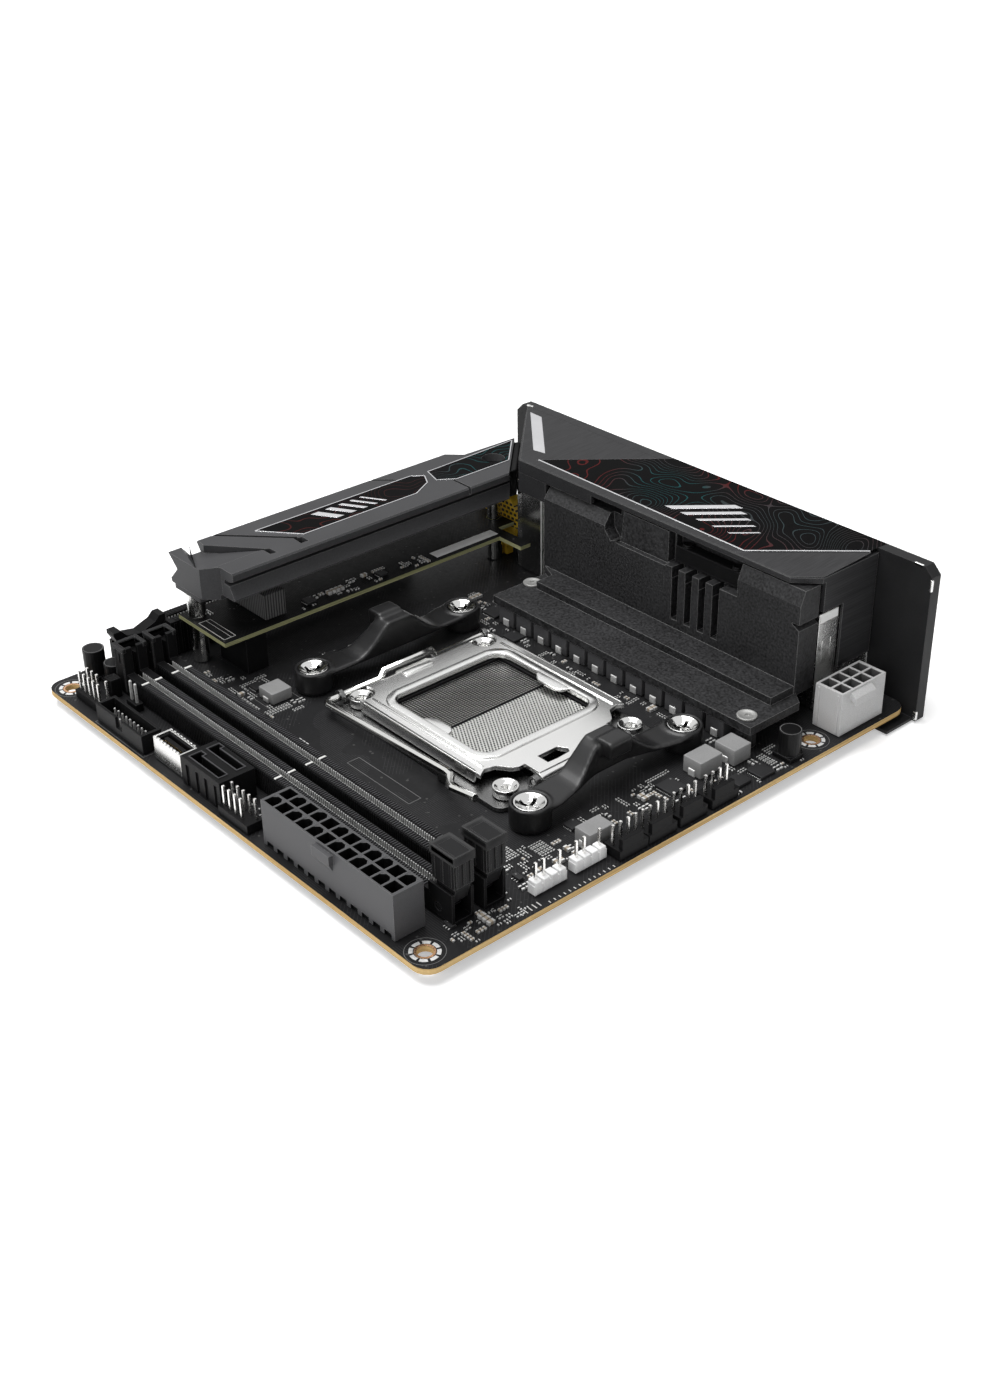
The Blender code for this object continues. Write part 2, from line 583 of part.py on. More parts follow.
def build_m2_stack():
    """Riser board on posts over the main board, and the extruded heatsink above it."""
    sink = part("m2_heatsink", prism([m2_section()], "uw", 38.0, 170.0), CHARCOAL)
    join(sink, boxes((11.4, 24.2, 38.6, 47.0, M2_NOSE_UNDER, M2_UNDER + OVER)))
    end = [(0.0, 179.4), (50.0, 129.4), (60.0, 130.0), (60.0, 190.0), (0.0, 190.0)]
    corner = [(5.0, 131.6), (15.9, 142.5), (16.8, 175.0), (5.0, 175.0)]
    nose = [(25.3, 37.0), (30.5, 42.4), (40.0, 42.4), (40.0, 37.0)]
    for outline in (end, corner, nose):
        cut(sink, prism([outline], "uv", 20.0, 40.0))
    u, v = REAR_POST
    cut(sink, rod((u, v, 29.0), (u, v, M2_TOP + OVER), 3.6), rod((u, v, 20.0), (u, v, 30.0), 1.7, 12))
    screw("m2_heatsink_screw", REAR_POST, 29.3, 3.1, 2.0, 1.25, 18.0, 1.4, TIN)

    outline = [(12.4, 38.0), (36.2, 38.0), (36.2, 139.0), (46.0, 139.0), (46.0, 143.0), (31.0, 143.0)]
    outline += [(31.0, 149.6), (12.4, 149.6)]
    loops = [outline, circle(FRONT_POST, 1.6), circle(REAR_POST, 2.4)]
    part("m2_riser_board", prism(loops, "uv", *RISER_W), SOLDER_MASK)

    u, v = FRONT_POST
    lower = part("riser_standoff_front", rod((u, v, GAP), (u, v, RISER_W[0] - GAP), 2.6), NICKEL)
    join(lower, rod((u, v, RISER_W[0] - 2 * GAP), (u, v, 17.4), 1.2, 12))
    upper = part("heatsink_standoff", rod((u, v, RISER_W[1] + GAP), (u, v, M2_NOSE_UNDER - GAP), 2.6), NICKEL)
    cut(upper, rod((u, v, RISER_W[0]), (u, v, 17.8), 1.55, 12))
    u, v = REAR_POST
    rear = part("riser_standoff_rear", rod((u, v, GAP), (u, v, RISER_W[0] - GAP), 2.7), NICKEL)
    join(rear, rod((u, v, RISER_W[0] - 2 * GAP), (u, v, M2_UNDER - GAP), 2.1))
    cut(rear, rod((u, v, 17.0), (u, v, M2_UNDER + OVER), 1.55, 12))
    for post in (lower, upper, rear):
        smooth(post)

    part("riser_connector", boxes((20.0, 34.0, 46.0, 53.0, GAP, RISER_W[0] - GAP)), BLACK_PLASTIC)
    slot = part("m2_slot", boxes((13.0, 33.0, 54.0, 61.0, RISER_W[1] + GAP, 22.0)), BLACK_PLASTIC)
    cut(slot, boxes((14.2, 31.8, 56.6, 61.0 + OVER, 16.0, 17.6)))

    cell_u, cell_v, cell_w, cell_r = 22.0, (150.4, 154.0), 12.6, 10.0
    disc = rod((cell_u, cell_v[0], cell_w), (cell_u, cell_v[1], cell_w), cell_r, 32)
    cell = part("coin_cell", disc, CELL_WRAP)
    join(cell, boxes((cell_u - 4.0, cell_u + 4.0, cell_v[0] + 0.4, cell_v[1] - 0.4, GAP, 5.0)))
    smooth(cell)


def build_pcie_slot():
    """Slot body with an end bay whose cheeks carry the retention latch."""
    u0, u1, front = PCIE_U - PCIE_HALF, PCIE_U + PCIE_HALF, 36.0
    bay, cheek, bay_top = 20.0, 1.35, 9.0
    slot = part("pcie_slot", boxes((u0, u1, front, 124.0, GAP, PCIE_TOP)), BLACK_PLASTIC)
    join(slot, boxes((u0 + 0.01, u1 - 0.01, bay, front + OVER, GAP + 0.01, 1.5)))
    for low in (u0 + 0.01, u1 - cheek - 0.01):
        join(slot, boxes((low, low + cheek, bay, front + OVER, GAP + 0.02, bay_top)))
    cut(slot, boxes((PCIE_U - 0.95, PCIE_U + 0.95, front + 1.2, 122.8, 3.2, PCIE_TOP + OVER)))
    v, w = PCIE_PIVOT
    cut(slot, rod((u0 - OVER, v, w), (u1 + OVER, v, w), 1.25, 16))

    half = PCIE_HALF - cheek - 0.4
    side = arc(PCIE_PIVOT, 1.9, 180, 330, 6) + [(29.0, 7.6), (34.0, 10.6), (35.5, 12.0), (35.5, 14.0)]
    side += [(33.6, 14.0), (32.0, 12.4), (27.0, 10.6), (22.8, 11.4), (21.0, 13.4), (18.6, 13.4), (18.6, 12.2)]
    body = prism([side], "vw", PCIE_U - half, PCIE_U + half)
    latch = part("pcie_latch", body, BLACK_PLASTIC, (PCIE_U, v, w))
    join(latch, rod((u0 + 0.5, v, w), (u1 - 0.5, v, w), 0.9, 12))


def build_dimm_slots():
    """Each memory slot has a fixed guide tower at one end and a bay with a swinging latch at the other."""
    tower_u, near_u, bay_u = (15.8, 21.0), 153.0, 161.5
    cheek, bay_top, tower_top = 0.75, 9.0, 14.5
    pivot_u, pivot_w = DIMM_PIVOT
    for i, v in enumerate(DIMM_V, 1):
        low, high = v - DIMM_HALF, v + DIMM_HALF
        slot = part(f"dimm_slot_{i}", boxes((20.0, near_u + OVER, low, high, GAP, DIMM_TOP)), BLACK_PLASTIC)
        join(slot, boxes((*tower_u, low - 0.4, high + 0.4, GAP + 0.01, tower_top)))
        join(slot, boxes((near_u, bay_u, low + 0.01, high - 0.01, GAP + 0.01, 1.2)))
        for side in (low + 0.02, high - cheek - 0.02):
            join(slot, boxes((near_u, bay_u, side, side + cheek, GAP + 0.02, bay_top)))
        cut(slot, boxes((22.2, 151.8, v - 0.9, v + 0.9, 1.8, DIMM_TOP + OVER)))
        cut(slot, boxes((18.4, 22.3, v - 0.9, v + 0.9, 4.2, tower_top + OVER)))
        cut(slot, rod((pivot_u, low - OVER, pivot_w), (pivot_u, high + OVER, pivot_w), 1.2, 16))

        side = arc(DIMM_PIVOT, 1.6, 180, 360, 8) + [(160.4, 6.0), (161.6, 9.6), (162.0, 19.5), (155.4, 19.5)]
        side += [(154.4, 18.6), (154.4, 12.0), (155.0, 7.6)]
        half = DIMM_HALF - cheek - 0.35
        pivot = (pivot_u, v, pivot_w)
        latch = part(f"dimm_latch_{i}", prism([side], "uw", v - half, v + half), BLACK_PLASTIC, pivot)
        join(latch, rod((pivot_u, low + 0.3, pivot_w), (pivot_u, high - 0.3, pivot_w), 0.9, 12))
        join(latch, boxes((154.2, 162.1, v - 2.9, v + 2.9, 10.6, 19.0)))


def build_power_connectors():
    """Two-row power headers: open square cells in a block, with a latch ledge on one long side."""
    block = (105.4, 156.8, 2.0, 10.8)
    atx = part("atx_power_connector", boxes((*block, GAP, POWER_TOP)), BLACK_PLASTIC)
    middle = (sum(block[:2]) / 2, sum(block[2:]) / 2)
    join(atx, boxes((middle[0] - 3.4, middle[0] + 3.4, 0.7, 2.5, 9.4, 12.2)))
    cut(atx, cell_cutter(middle, 12, 2))

    block = (159.0, 168.0, 143.0, 161.0)
    eps = part("cpu_power_connector", boxes((*block, GAP, POWER_TOP)), GREY_PLASTIC)
    middle = (sum(block[:2]) / 2, sum(block[2:]) / 2)
    join(eps, boxes((167.5, 169.4, middle[1] - 3.2, middle[1] + 3.2, 9.4, 12.2)))
    cut(eps, cell_cutter(middle, 2, 4))


def cell_cutter(middle, across, along):
    """A grid of square wells about a middle point, open at the connector's top."""
    floor, spans = 4.2, []
    for i in range(across):
        for j in range(along):
            u = middle[0] + (i - (across - 1) / 2) * CELL_PITCH
            v = middle[1] + (j - (along - 1) / 2) * CELL_PITCH
            low, high = square((u, v), 2 * CELL_HALF)
            spans.append((low[0], high[0], low[1], high[1], floor, POWER_TOP + OVER))
    return boxes(*spans)


def build_front_headers():
    usb = part("usb_box_header", boxes((27.3, 50.7, 1.2, 7.3, GAP, 5.9)), BLACK_PLASTIC)
    cut(usb, boxes((28.2, 49.8, 2.0, 6.5, 1.3, 5.9 + OVER)), boxes((37.4, 40.6, 0.4, 2.4, 2.6, 5.9 + OVER)))

    usb_c = part("usb_c_header", boxes((54.0, 67.0, 2.9, 8.3, GAP, 7.0)), TIN)
    cut(usb_c, boxes((54.6, 66.4, 3.5, 7.7, 1.4, 7.0 + OVER)))
    join(usb_c, boxes((56.0, 65.0, 5.1, 6.1, 0.8, 6.2)))

    sata = part("sata_port_pair", boxes((69.0, 86.7, 2.0, 12.7, GAP, 8.5)), BLACK_PLASTIC)
    for v in (3.4, 8.8):
        key = [(71.2, v), (84.6, v), (84.6, v + 2.3), (73.2, v + 2.3), (73.2, v + 3.5), (71.2, v + 3.5)]
        cut(sata, prism([key], "uv", 2.6, 8.5 + OVER))

    columns = [88.3 + PIN_PITCH * i for i in range(5)]
    panel = part("front_panel_header", boxes((87.0, 99.8, 0.9, 6.0, GAP, 2.8)), BLACK_PLASTIC)
    join(panel, pin_row(columns, (2.2, 2.2 + PIN_PITCH), PIN_TOP, skip=((4, 0),)))
    columns = [13.0 + PIN_PITCH * i for i in range(5)]
    audio = part("front_audio_header", boxes((11.8, 24.4, 3.3, 8.4, GAP, 2.8)), BLACK_PLASTIC)
    join(audio, pin_row(columns, (4.6, 4.6 + PIN_PITCH), PIN_TOP, skip=((3, 1),)))


def build_side_headers():
    """Pin headers along the right edge: four fan headers with a guide wall, two lighting headers without."""
    width = 9.6
    for i, v in enumerate((60.8, 70.8, 81.6, 93.0), 1):
        fan = part(f"fan_header_{i}", boxes((163.2, 169.0, v, v + width, GAP, 3.0)), BLACK_PLASTIC)
        join(fan, boxes((167.7, 169.0 - 0.01, v + 0.8, v + width - 1.8, 1.0, 6.0)))
        rows = [v + width / 2 + (j - 1.5) * PIN_PITCH for j in range(4)]
        join(fan, pin_row((165.4,), rows, PIN_TOP))
    for i, v in enumerate((36.6, 49.6), 1):
        base = boxes((162.9, 165.5, v, v + PIN_PITCH * 4, GAP, 2.8))
        light = part(f"light_header_{i}", base, WHITE_PLASTIC)
        rows = [v + PIN_PITCH * (j + 0.5) for j in range(4)]
        join(light, pin_row((164.2,), rows, PIN_TOP, skip=((0, 2),)))


def build_capacitors():
    cans = ((5.4, 13.5, 3.1, 9.4), (12.2, 15.8, 2.9, 6.8), (165.0, 126.5, 3.05, 8.3))
    for i, (u, v, radius, top) in enumerate(cans, 1):
        can = part(f"can_capacitor_{i}", rod((u, v, 1.0), (u, v, top), radius), CAN)
        foot, clip = radius + 0.05, 1.2
        pad = [(u - foot, v - foot), (u + foot, v - foot), (u + foot, v + foot - clip)]
        pad += [(u + foot - clip, v + foot), (u - foot + clip, v + foot), (u - foot, v + foot - clip)]
        join(can, prism([pad], "uv", GAP, 1.5))
        smooth(can)


build_board()
build_backplate()
build_socket_body()
build_socket_frame()
build_load_plate()
build_lever()
build_socket_screws()
build_brackets()
build_vrm_heatsink()
build_io_cover()
build_io_shield()
build_rear_ports()
build_m2_stack()
build_pcie_slot()
build_dimm_slots()
build_power_connectors()
build_front_headers()
build_side_headers()
build_capacitors()
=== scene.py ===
"""Looks of a compact desktop motherboard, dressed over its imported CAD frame."""

import math
import random
from contextlib import contextmanager

import bpy
from mathutils import Matrix, Vector


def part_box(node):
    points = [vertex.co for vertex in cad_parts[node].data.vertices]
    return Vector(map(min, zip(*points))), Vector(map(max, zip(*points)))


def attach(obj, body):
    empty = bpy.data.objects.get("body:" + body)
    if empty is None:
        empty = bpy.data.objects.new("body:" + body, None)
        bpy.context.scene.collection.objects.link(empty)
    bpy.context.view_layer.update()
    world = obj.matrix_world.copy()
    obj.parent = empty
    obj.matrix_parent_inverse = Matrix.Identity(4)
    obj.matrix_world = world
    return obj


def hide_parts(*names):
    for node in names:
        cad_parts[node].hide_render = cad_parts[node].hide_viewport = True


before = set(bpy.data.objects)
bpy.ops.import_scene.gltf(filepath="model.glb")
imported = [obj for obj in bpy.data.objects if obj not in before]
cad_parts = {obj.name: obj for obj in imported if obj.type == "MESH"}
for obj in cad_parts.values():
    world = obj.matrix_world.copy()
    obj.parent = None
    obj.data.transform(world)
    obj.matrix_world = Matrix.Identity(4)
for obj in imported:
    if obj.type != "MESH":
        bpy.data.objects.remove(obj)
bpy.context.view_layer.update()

MM = 0.001
PCB_LOW, PCB_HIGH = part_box("main_pcb")
CORNER = Vector((PCB_LOW.x, PCB_LOW.y, PCB_HIGH.z))
SIDES = (-1, 1)


def at(u, v, w):
    """A point given in board millimetres from the corner of the board's top face."""
    return Vector((u, v, w)) * MM + CORNER


def board_mm(point):
    """Board millimetres of a point in the scene."""
    return (Vector(point) - CORNER) / MM


# Shader tools


class Signal:
    """A shader socket. Arithmetic on it adds Math nodes to its finish."""

    def __init__(self, finish, socket):
        self.finish = finish
        self.socket = socket

    def math(self, operation, *values):
        """Adds a Math node on some values."""
        return self.finish.node("Math", {"operation": operation}, dict(enumerate(values)))

    def __add__(self, other):
        return self.math("ADD", self, other)

    def __sub__(self, other):
        return self.math("SUBTRACT", self, other)

    def __rsub__(self, other):
        return self.math("SUBTRACT", other, self)

    def __mul__(self, other):
        return self.math("MULTIPLY", self, other)

    def __gt__(self, other):
        return self.math("GREATER_THAN", self, other)

    def __lt__(self, other):
        return self.math("LESS_THAN", self, other)

    def __abs__(self):
        return self.math("ABSOLUTE", self)

    __radd__ = __add__
    __rmul__ = __mul__


class Finish:
    """A Principled material, built up node by node on Object coordinates."""

    def __init__(self, name):
        self.material = bpy.data.materials.new(name)
        self.material.use_nodes = True
        self.tree = self.material.node_tree
        self.shader = self.tree.nodes["Principled BSDF"]
        self.spot = self.node("TexCoord", {}, {}, "Object")

    def node(self, kind, settings, sockets, out=0):
        """Adds a shader node with its settings and inputs, and gives one of its outputs."""
        made = self.tree.nodes.new("ShaderNode" + kind)
        for key, value in settings.items():
            setattr(made, key, value)
        for key, value in sockets.items():
            self.feed(made.inputs[key], value)
        return Signal(self, made.outputs[out])

    def feed(self, socket, value):
        """Links a signal to an input, or writes a plain value there."""
        if isinstance(value, Signal):
            self.tree.links.new(value.socket, socket)
        else:
            socket.default_value = value

    def set(self, sockets):
        """Feeds the shader's inputs and gives the finished material."""
        for name, value in sockets.items():
            self.feed(self.shader.inputs[name], value)
        return self.material

    def coat(self, tone, rough, normal, shine=0.5, metallic=0.0):
        """Feeds the inputs that every finish of the part has."""
        sockets = {"Base Color": tone, "Roughness": rough, "Normal": normal}
        return self.set({**sockets, "Specular IOR Level": shine, "Metallic": metallic})

    def mapped(self, stretch=(1, 1, 1), turn=0):
        """Object coordinates in millimetres from the board corner, turned and stretched."""
        shifted = self.node("VectorMath", {"operation": "SUBTRACT"}, {0: self.spot, 1: CORNER})
        turned = (0, 0, math.radians(turn))
        scale = Vector(stretch) / MM
        return self.node("Mapping", {}, {"Vector": shifted, "Rotation": turned, "Scale": scale})

    def board_axes(self):
        """The board coordinates u, v and w, in millimetres."""
        split = self.node("SeparateXYZ", {}, {0: self.mapped()}).socket.node
        return [Signal(self, output) for output in split.outputs]

    def noise(self, size, detail=3, place=None):
        """Noise with features about size millimetres across."""
        place = place or self.mapped()
        return self.node("TexNoise", {}, {"Vector": place, "Scale": 1 / size, "Detail": detail})

    def spread(self, value, low, high, new_low, new_high):
        """Maps a value from one range onto another."""
        return self.node("MapRange", {}, {"Value": value, 1: low, 2: high, 3: new_low, 4: new_high})

    def mix(self, factor, a, b):
        """Blends from colour a to colour b."""
        return self.node("Mix", {"data_type": "RGBA"}, {0: factor, 6: paint(a), 7: paint(b)}, 2)

    def upward(self):
        """How far the surface faces up: 1 on top, 0 on a side, -1 below."""
        normal = self.node("NewGeometry", {}, {}, "True Normal")
        return self.node("SeparateXYZ", {}, {0: normal}, "Z")

    def rounded(self, radius):
        """Normals that round the edges off over a radius in millimetres."""
        return self.node("Bevel", {"samples": 4}, {"Radius": radius * MM})

    def edges(self, rounded):
        """1 on rounded edges and 0 on flat faces: the mask for painted edge highlights."""
        flat = self.node("NewGeometry", {}, {}, "True Normal")
        likeness = self.node("VectorMath", {"operation": "DOT_PRODUCT"}, {0: rounded, 1: flat}, 1)
        return self.spread(likeness, 0.995, 0.8, 0, 1)

    def bump(self, height, depth, normal=None):
        """A bumped normal, its relief depth given in millimetres."""
        sockets = {"Height": height, "Distance": depth * MM, "Strength": 1}
        if normal:
            sockets["Normal"] = normal
        return self.node("Bump", {}, sockets)


def paint(colour):
    """A colour with its alpha. Links pass through."""
    if isinstance(colour, Signal) or len(colour) == 4:
        return colour
    return (*colour, 1)


# Finishes


def grained(name, dark, light, rough, grain, depth, edge=None, radius=0.25, shine=0.5):
    """A surface whose tone, gloss and relief vary with a grain in millimetres. An edge tone, where given,
    is a painted highlight along the rounded edges.
    """
    finish = Finish(name)
    fine = finish.noise(grain)
    broad = finish.noise(grain * 30, 2)
    tone = finish.mix(finish.spread(broad + fine, 0.6, 1.4, 0, 1), dark, light)
    rounded = finish.rounded(radius)
    # Painted highlight: the edge tone lightens the rounded edges.
    if edge:
        tone = finish.mix(finish.edges(rounded), tone, edge)
    gloss = finish.spread(fine + broad, 0.6, 1.4, *rough)
    return finish.coat(tone, gloss, finish.bump(fine, depth, rounded), shine)


def grey(level):
    """A neutral tone, with a trace of blue in the blacks."""
    return (level, level, level * (1.05 if level < 0.1 else 1.0))


def moulded(name, level, rough=0.42, edge=None, radius=0.25, shine=0.06):
    """Moulded plastic with a fine spark-eroded skin, and a painted highlight along its rounded edges."""
    spread = (rough - 0.06, rough + 0.06)
    # Painted highlight on the rounded edges, eight times the plastic's tone unless an edge tone is given.
    edge = grey(edge if edge else level * 8)
    return grained(name, grey(level), grey(level * 1.5), spread, 0.22, 0.008, edge, radius, shine)


def sandblasted(name, dark, light, edge):
    """Blasted and dyed aluminium: a coarse even grain in tone and relief, with a painted highlight along
    the rounded edges.
    """
    finish = Finish(name)
    grit = finish.noise(0.7, 2)
    clouds = finish.noise(14, 2)
    rounded = finish.rounded(0.3)
    tone = finish.mix(finish.spread(grit + clouds * 0.3, 0.42, 0.88, 0, 1), grey(dark), grey(light))
    # Painted highlight along the rounded edges.
    tone = finish.mix(finish.edges(rounded), tone, grey(edge))
    gloss = finish.spread(grit, 0.35, 0.65, 0.46, 0.6)
    return finish.coat(tone, gloss, finish.bump(grit, 0.12, rounded), 0.26)


def solder_mask(name, level, shine, laminate_dark, laminate_light):
    """Black lacquer over faint copper routes, with the bare laminate along the cut edges."""
    finish = Finish(name)
    common = {"Scale": 1, "Mortar Size": 0.07, "Mortar Smooth": 0.4}
    straight = {**common, "Brick Width": 17, "Row Height": 0.62}
    slanted = {**common, "Brick Width": 11, "Row Height": 0.9}
    along = finish.node("TexBrick", {"offset": 0.37}, {"Vector": finish.mapped(), **straight}, 1)
    turned = finish.mapped(turn=45)
    across = finish.node("TexBrick", {"offset": 0.63}, {"Vector": turned, **slanted}, 1)
    patches = finish.noise(22, 1)
    routes = along * (patches > 0.52) + across * (patches < 0.42)
    cells = finish.node("TexVoronoi", {}, {"Vector": finish.mapped(), "Scale": 0.45})
    vias = (cells < 0.16) * (finish.noise(9, 1) > 0.55)
    lacquer = finish.mix(finish.noise(3), grey(level), grey(level * 1.5))
    lacquer = finish.mix(routes * 0.6, lacquer, grey(level * 4))
    lacquer = finish.mix(vias * 0.6, lacquer, (0.09, 0.09, 0.088))
    plies = finish.node("TexNoise", {}, {"Vector": finish.mapped((0.02, 0.02, 3)), "Scale": 1})
    laminate = finish.mix(finish.spread(plies, 0.35, 0.65, 0, 1), laminate_dark, laminate_light)
    side = abs(finish.upward()) < 0.5
    gloss = finish.spread(finish.noise(1.2), 0.3, 0.7, 0.36, 0.48) + side * 0.2
    relief = finish.bump(routes + vias + finish.noise(0.5) * 0.2, 0.02)
    return finish.coat(finish.mix(side, lacquer, laminate), gloss, relief, shine)


def plated(name, tone, rough, brushed=(1, 1, 1), radius=0.25, mottle=0.06, metallic=1.0):
    """Plated metal with faint handling marks and drawn lines."""
    finish = Finish(name)
    lines = finish.noise(0.5, 4, finish.mapped(brushed))
    clouds = finish.noise(9, 2)
    shade = [part * (1 - mottle) for part in tone]
    tone = finish.mix(finish.spread(clouds, 0.35, 0.65, 0, 1), shade, tone)
    gloss = finish.spread(lines, 0.3, 0.7, *rough)
    relief = finish.bump(lines, 0.0012, finish.rounded(radius))
    return finish.coat(tone, gloss, relief, metallic=metallic)


def hairline(name, dark, light, turn):
    """Dark brushed sheet: fine long lines that catch the light, with a painted highlight along the rounded
    edges.
    """
    finish = Finish(name)
    lines = finish.noise(0.25, 3, finish.mapped((1, 0.012, 1), turn))
    rounded = finish.rounded(0.35)
    tone = finish.mix(finish.spread(lines, 0.35, 0.65, 0, 1), dark, light)
    # Painted highlight along the rounded edges.
    tone = finish.mix(finish.edges(rounded), tone, grey(0.15))
    gloss = finish.spread(lines, 0.3, 0.7, 0.38, 0.5)
    return finish.coat(tone, gloss, finish.bump(lines, 0.006, rounded), 0.14)


def pin_header(name, level, base_top, wall_u=None):
    """Moulded base with drawn metal pins: metal above the base, except in the guide wall."""
    finish = Finish(name)
    u, _, w = finish.board_axes()
    metal = w > base_top
    if wall_u:
        metal = metal * (u < wall_u)
    fine = finish.noise(0.25)
    plastic = finish.mix(fine, grey(level), grey(level * 1.4))
    tone = finish.mix(metal, plastic, (0.86, 0.85, 0.83))
    gloss = finish.spread(fine, 0.3, 0.7, 0.36, 0.46) - metal * 0.16
    return finish.coat(tone, gloss, finish.bump(fine, 0.006, finish.rounded(0.12)), 0.06, metal)


def line_print(name, tints):
    """Glossy black sheet with a print of thin wandering contour lines in two dark tints."""
    finish = Finish(name)
    bent = finish.noise(22, 1)
    rings = finish.node("Math", {"operation": "FRACT"}, {0: bent * 26})
    lines = abs(rings - 0.5) < 0.06
    tint = finish.mix(finish.spread(finish.noise(38, 0), 0.4, 0.6, 0, 1), *tints)
    black = finish.mix(finish.noise(1.5), grey(0.002), grey(0.004))
    tone = finish.mix(lines * 0.6, black, tint)
    gloss = finish.spread(finish.noise(6), 0.3, 0.7, 0.12, 0.2)
    return finish.coat(tone, gloss, finish.bump(finish.noise(0.8), 0.001), 0.01)


def cell_wrap():
    """Yellow shrink film with a dark printed band."""
    finish = Finish("cell_wrap")
    u, _, w = finish.board_axes()
    marks = {"Scale": 1, "Mortar Size": 0.3, "Mortar Smooth": 0.0, "Brick Width": 1.9, "Row Height": 1.5}
    face = finish.node("CombineXYZ", {}, {0: u, 1: w})
    print_mask = finish.node("TexBrick", {"offset": 0.4}, {"Vector": face, **marks}, 1)
    print_mask = (1 - print_mask) * (abs(w - 15.5) < 4.2)
    film = finish.mix(finish.noise(5, 1), (0.3, 0.16, 0.01), (0.85, 0.58, 0.05))
    gloss = finish.spread(finish.noise(2), 0.3, 0.7, 0.25, 0.36)
    relief = finish.bump(finish.noise(1.6, 4), 0.05, finish.rounded(0.4))
    return finish.coat(finish.mix(print_mask, film, grey(0.012)), gloss, relief)


def housing(name, level, well_shade_level, edge, middle, half):
    """A power header's moulding: its own tone outside, painted shade in the wells, and a painted highlight
    along the rounded edges.
    """
    finish = Finish(name)
    u, v, w = finish.board_axes()
    well = (abs(u - middle[0]) < half[0]) * (abs(v - middle[1]) < half[1]) * (w < 12.9)
    fine = finish.noise(0.22)
    rounded = finish.rounded(0.2)
    tone = finish.mix(finish.spread(fine, 0.3, 0.7, 0, 1), grey(level), grey(level * 1.3))
    # Painted highlight along the rounded edges.
    tone = finish.mix(finish.edges(rounded), tone, grey(edge))
    # Painted shade: the wells take a darker tone below the housing's top.
    tone = finish.mix(well, tone, grey(well_shade_level))
    gloss = finish.spread(fine, 0.3, 0.7, 0.4, 0.5)
    return finish.coat(tone, gloss, finish.bump(fine, 0.008, rounded), 0.2)


def combed(name, dark, light, pitch):
    """Moulding crossed by fine upright contact tails."""
    finish = Finish(name)
    u, v, _ = finish.board_axes()
    comb = finish.node("Math", {"operation": "PINGPONG"}, {0: u + v, 1: pitch / 2})
    tails = finish.spread(comb, pitch * 0.2, pitch * 0.3, 0, 1)
    fine = finish.noise(0.3)
    tone = finish.mix(tails * 0.7 + fine * 0.2, grey(dark), grey(light))
    gloss = finish.spread(fine, 0.3, 0.7, 0.34, 0.46)
    return finish.coat(tone, gloss, finish.bump(tails, 0.05, finish.rounded(0.2)), 0.25)


FR4 = ((0.42, 0.27, 0.1), (0.66, 0.47, 0.22))
OLIVE = ((0.2, 0.2, 0.1), (0.36, 0.36, 0.2))

# Edge tones given to the finishes below are painted highlights along the rounded edges.
MASK = solder_mask("solder_mask", 0.012, 0.1, *FR4)
RISER_MASK = solder_mask("riser_mask", 0.004, 0.05, *OLIVE)
BLACK_STEEL = grained(
    "black_coated_steel", grey(0.011), grey(0.016), (0.4, 0.52), 0.35, 0.012, grey(0.06), shine=0.16
)
NICKEL = plated("nickel_plate", (0.87, 0.87, 0.86), (0.2, 0.25), (1, 0.08, 1), mottle=0.02)
FRAME_STEEL = plated("frame_steel", (0.2, 0.2, 0.2), (0.24, 0.34), mottle=0.1)
WIRE = plated("polished_wire", (0.8, 0.8, 0.78), (0.1, 0.18), radius=0.1)
TIN = plated("tinned_steel", (0.74, 0.74, 0.73), (0.2, 0.28), mottle=0.03)
SCREW_ZINC = plated("zinc_screw", (0.72, 0.72, 0.71), (0.1, 0.16), radius=0.15)
DULL_ZINC = plated("dull_screw", (0.42, 0.42, 0.41), (0.36, 0.46), radius=0.15, metallic=0.6)
SOLDER = plated("tin_solder", (0.8, 0.8, 0.79), (0.26, 0.4), radius=0.1, metallic=0.5)
COPPER = plated("bare_copper", (0.72, 0.42, 0.24), (0.22, 0.36), radius=0.05)
GOLD = plated("gold_flash", (0.83, 0.62, 0.3), (0.18, 0.3), radius=0.05)
CONTACT = plated("contact_spring", (0.66, 0.66, 0.64), (0.26, 0.38), radius=0.05)
SHEET = plated("shell_sheet", (0.62, 0.62, 0.62), (0.16, 0.22), mottle=0.02)
TRIM = plated("polished_trim", (0.8, 0.8, 0.82), (0.14, 0.22), radius=0.1)
BLACK_MOULDED = moulded("moulded_black", 0.0055)
TOWER_MOULDED = moulded("tower_black", 0.01, edge=0.12, shine=0.1)
RIB_MOULDED = moulded("rib_grey", 0.052, 0.4, 0.08, 0.06)
BRACKET_BLACK = moulded("bracket_black", 0.007, 0.34, 0.03, 0.4, 0.4)
# A housing's third number is the painted shade in its wells, its fourth the painted edge highlight.
POWER_GREY = housing("moulded_dark_grey", 0.06, 0.003, 0.2, (131.1, 6.4), (25.5, 4.2))
EPS_GREY = housing("moulded_light_grey", 0.43, 0.1, 0.58, (163.5, 152.0), (4.3, 8.8))
WHITE_MOULDED = moulded("moulded_white", 0.66, 0.42, 0.9, shine=0.4)
SLOT_COMB = combed("slot_comb", 0.008, 0.14, 0.9)
SAND_BLACK = sandblasted("sandblasted_black", 0.003, 0.034, 0.2)
ANODISED = grained(
    "charcoal_anodised", grey(0.038), grey(0.056), (0.42, 0.52), 0.5, 0.02, grey(0.18), 0.3, shine=0.16
)
COVER = hairline("cover_hairline", grey(0.016), grey(0.037), 90)
CAN_SLEEVE = grained(
    "capacitor_sleeve", grey(0.004), grey(0.007), (0.26, 0.34), 0.4, 0.006, grey(0.05), shine=0.12
)
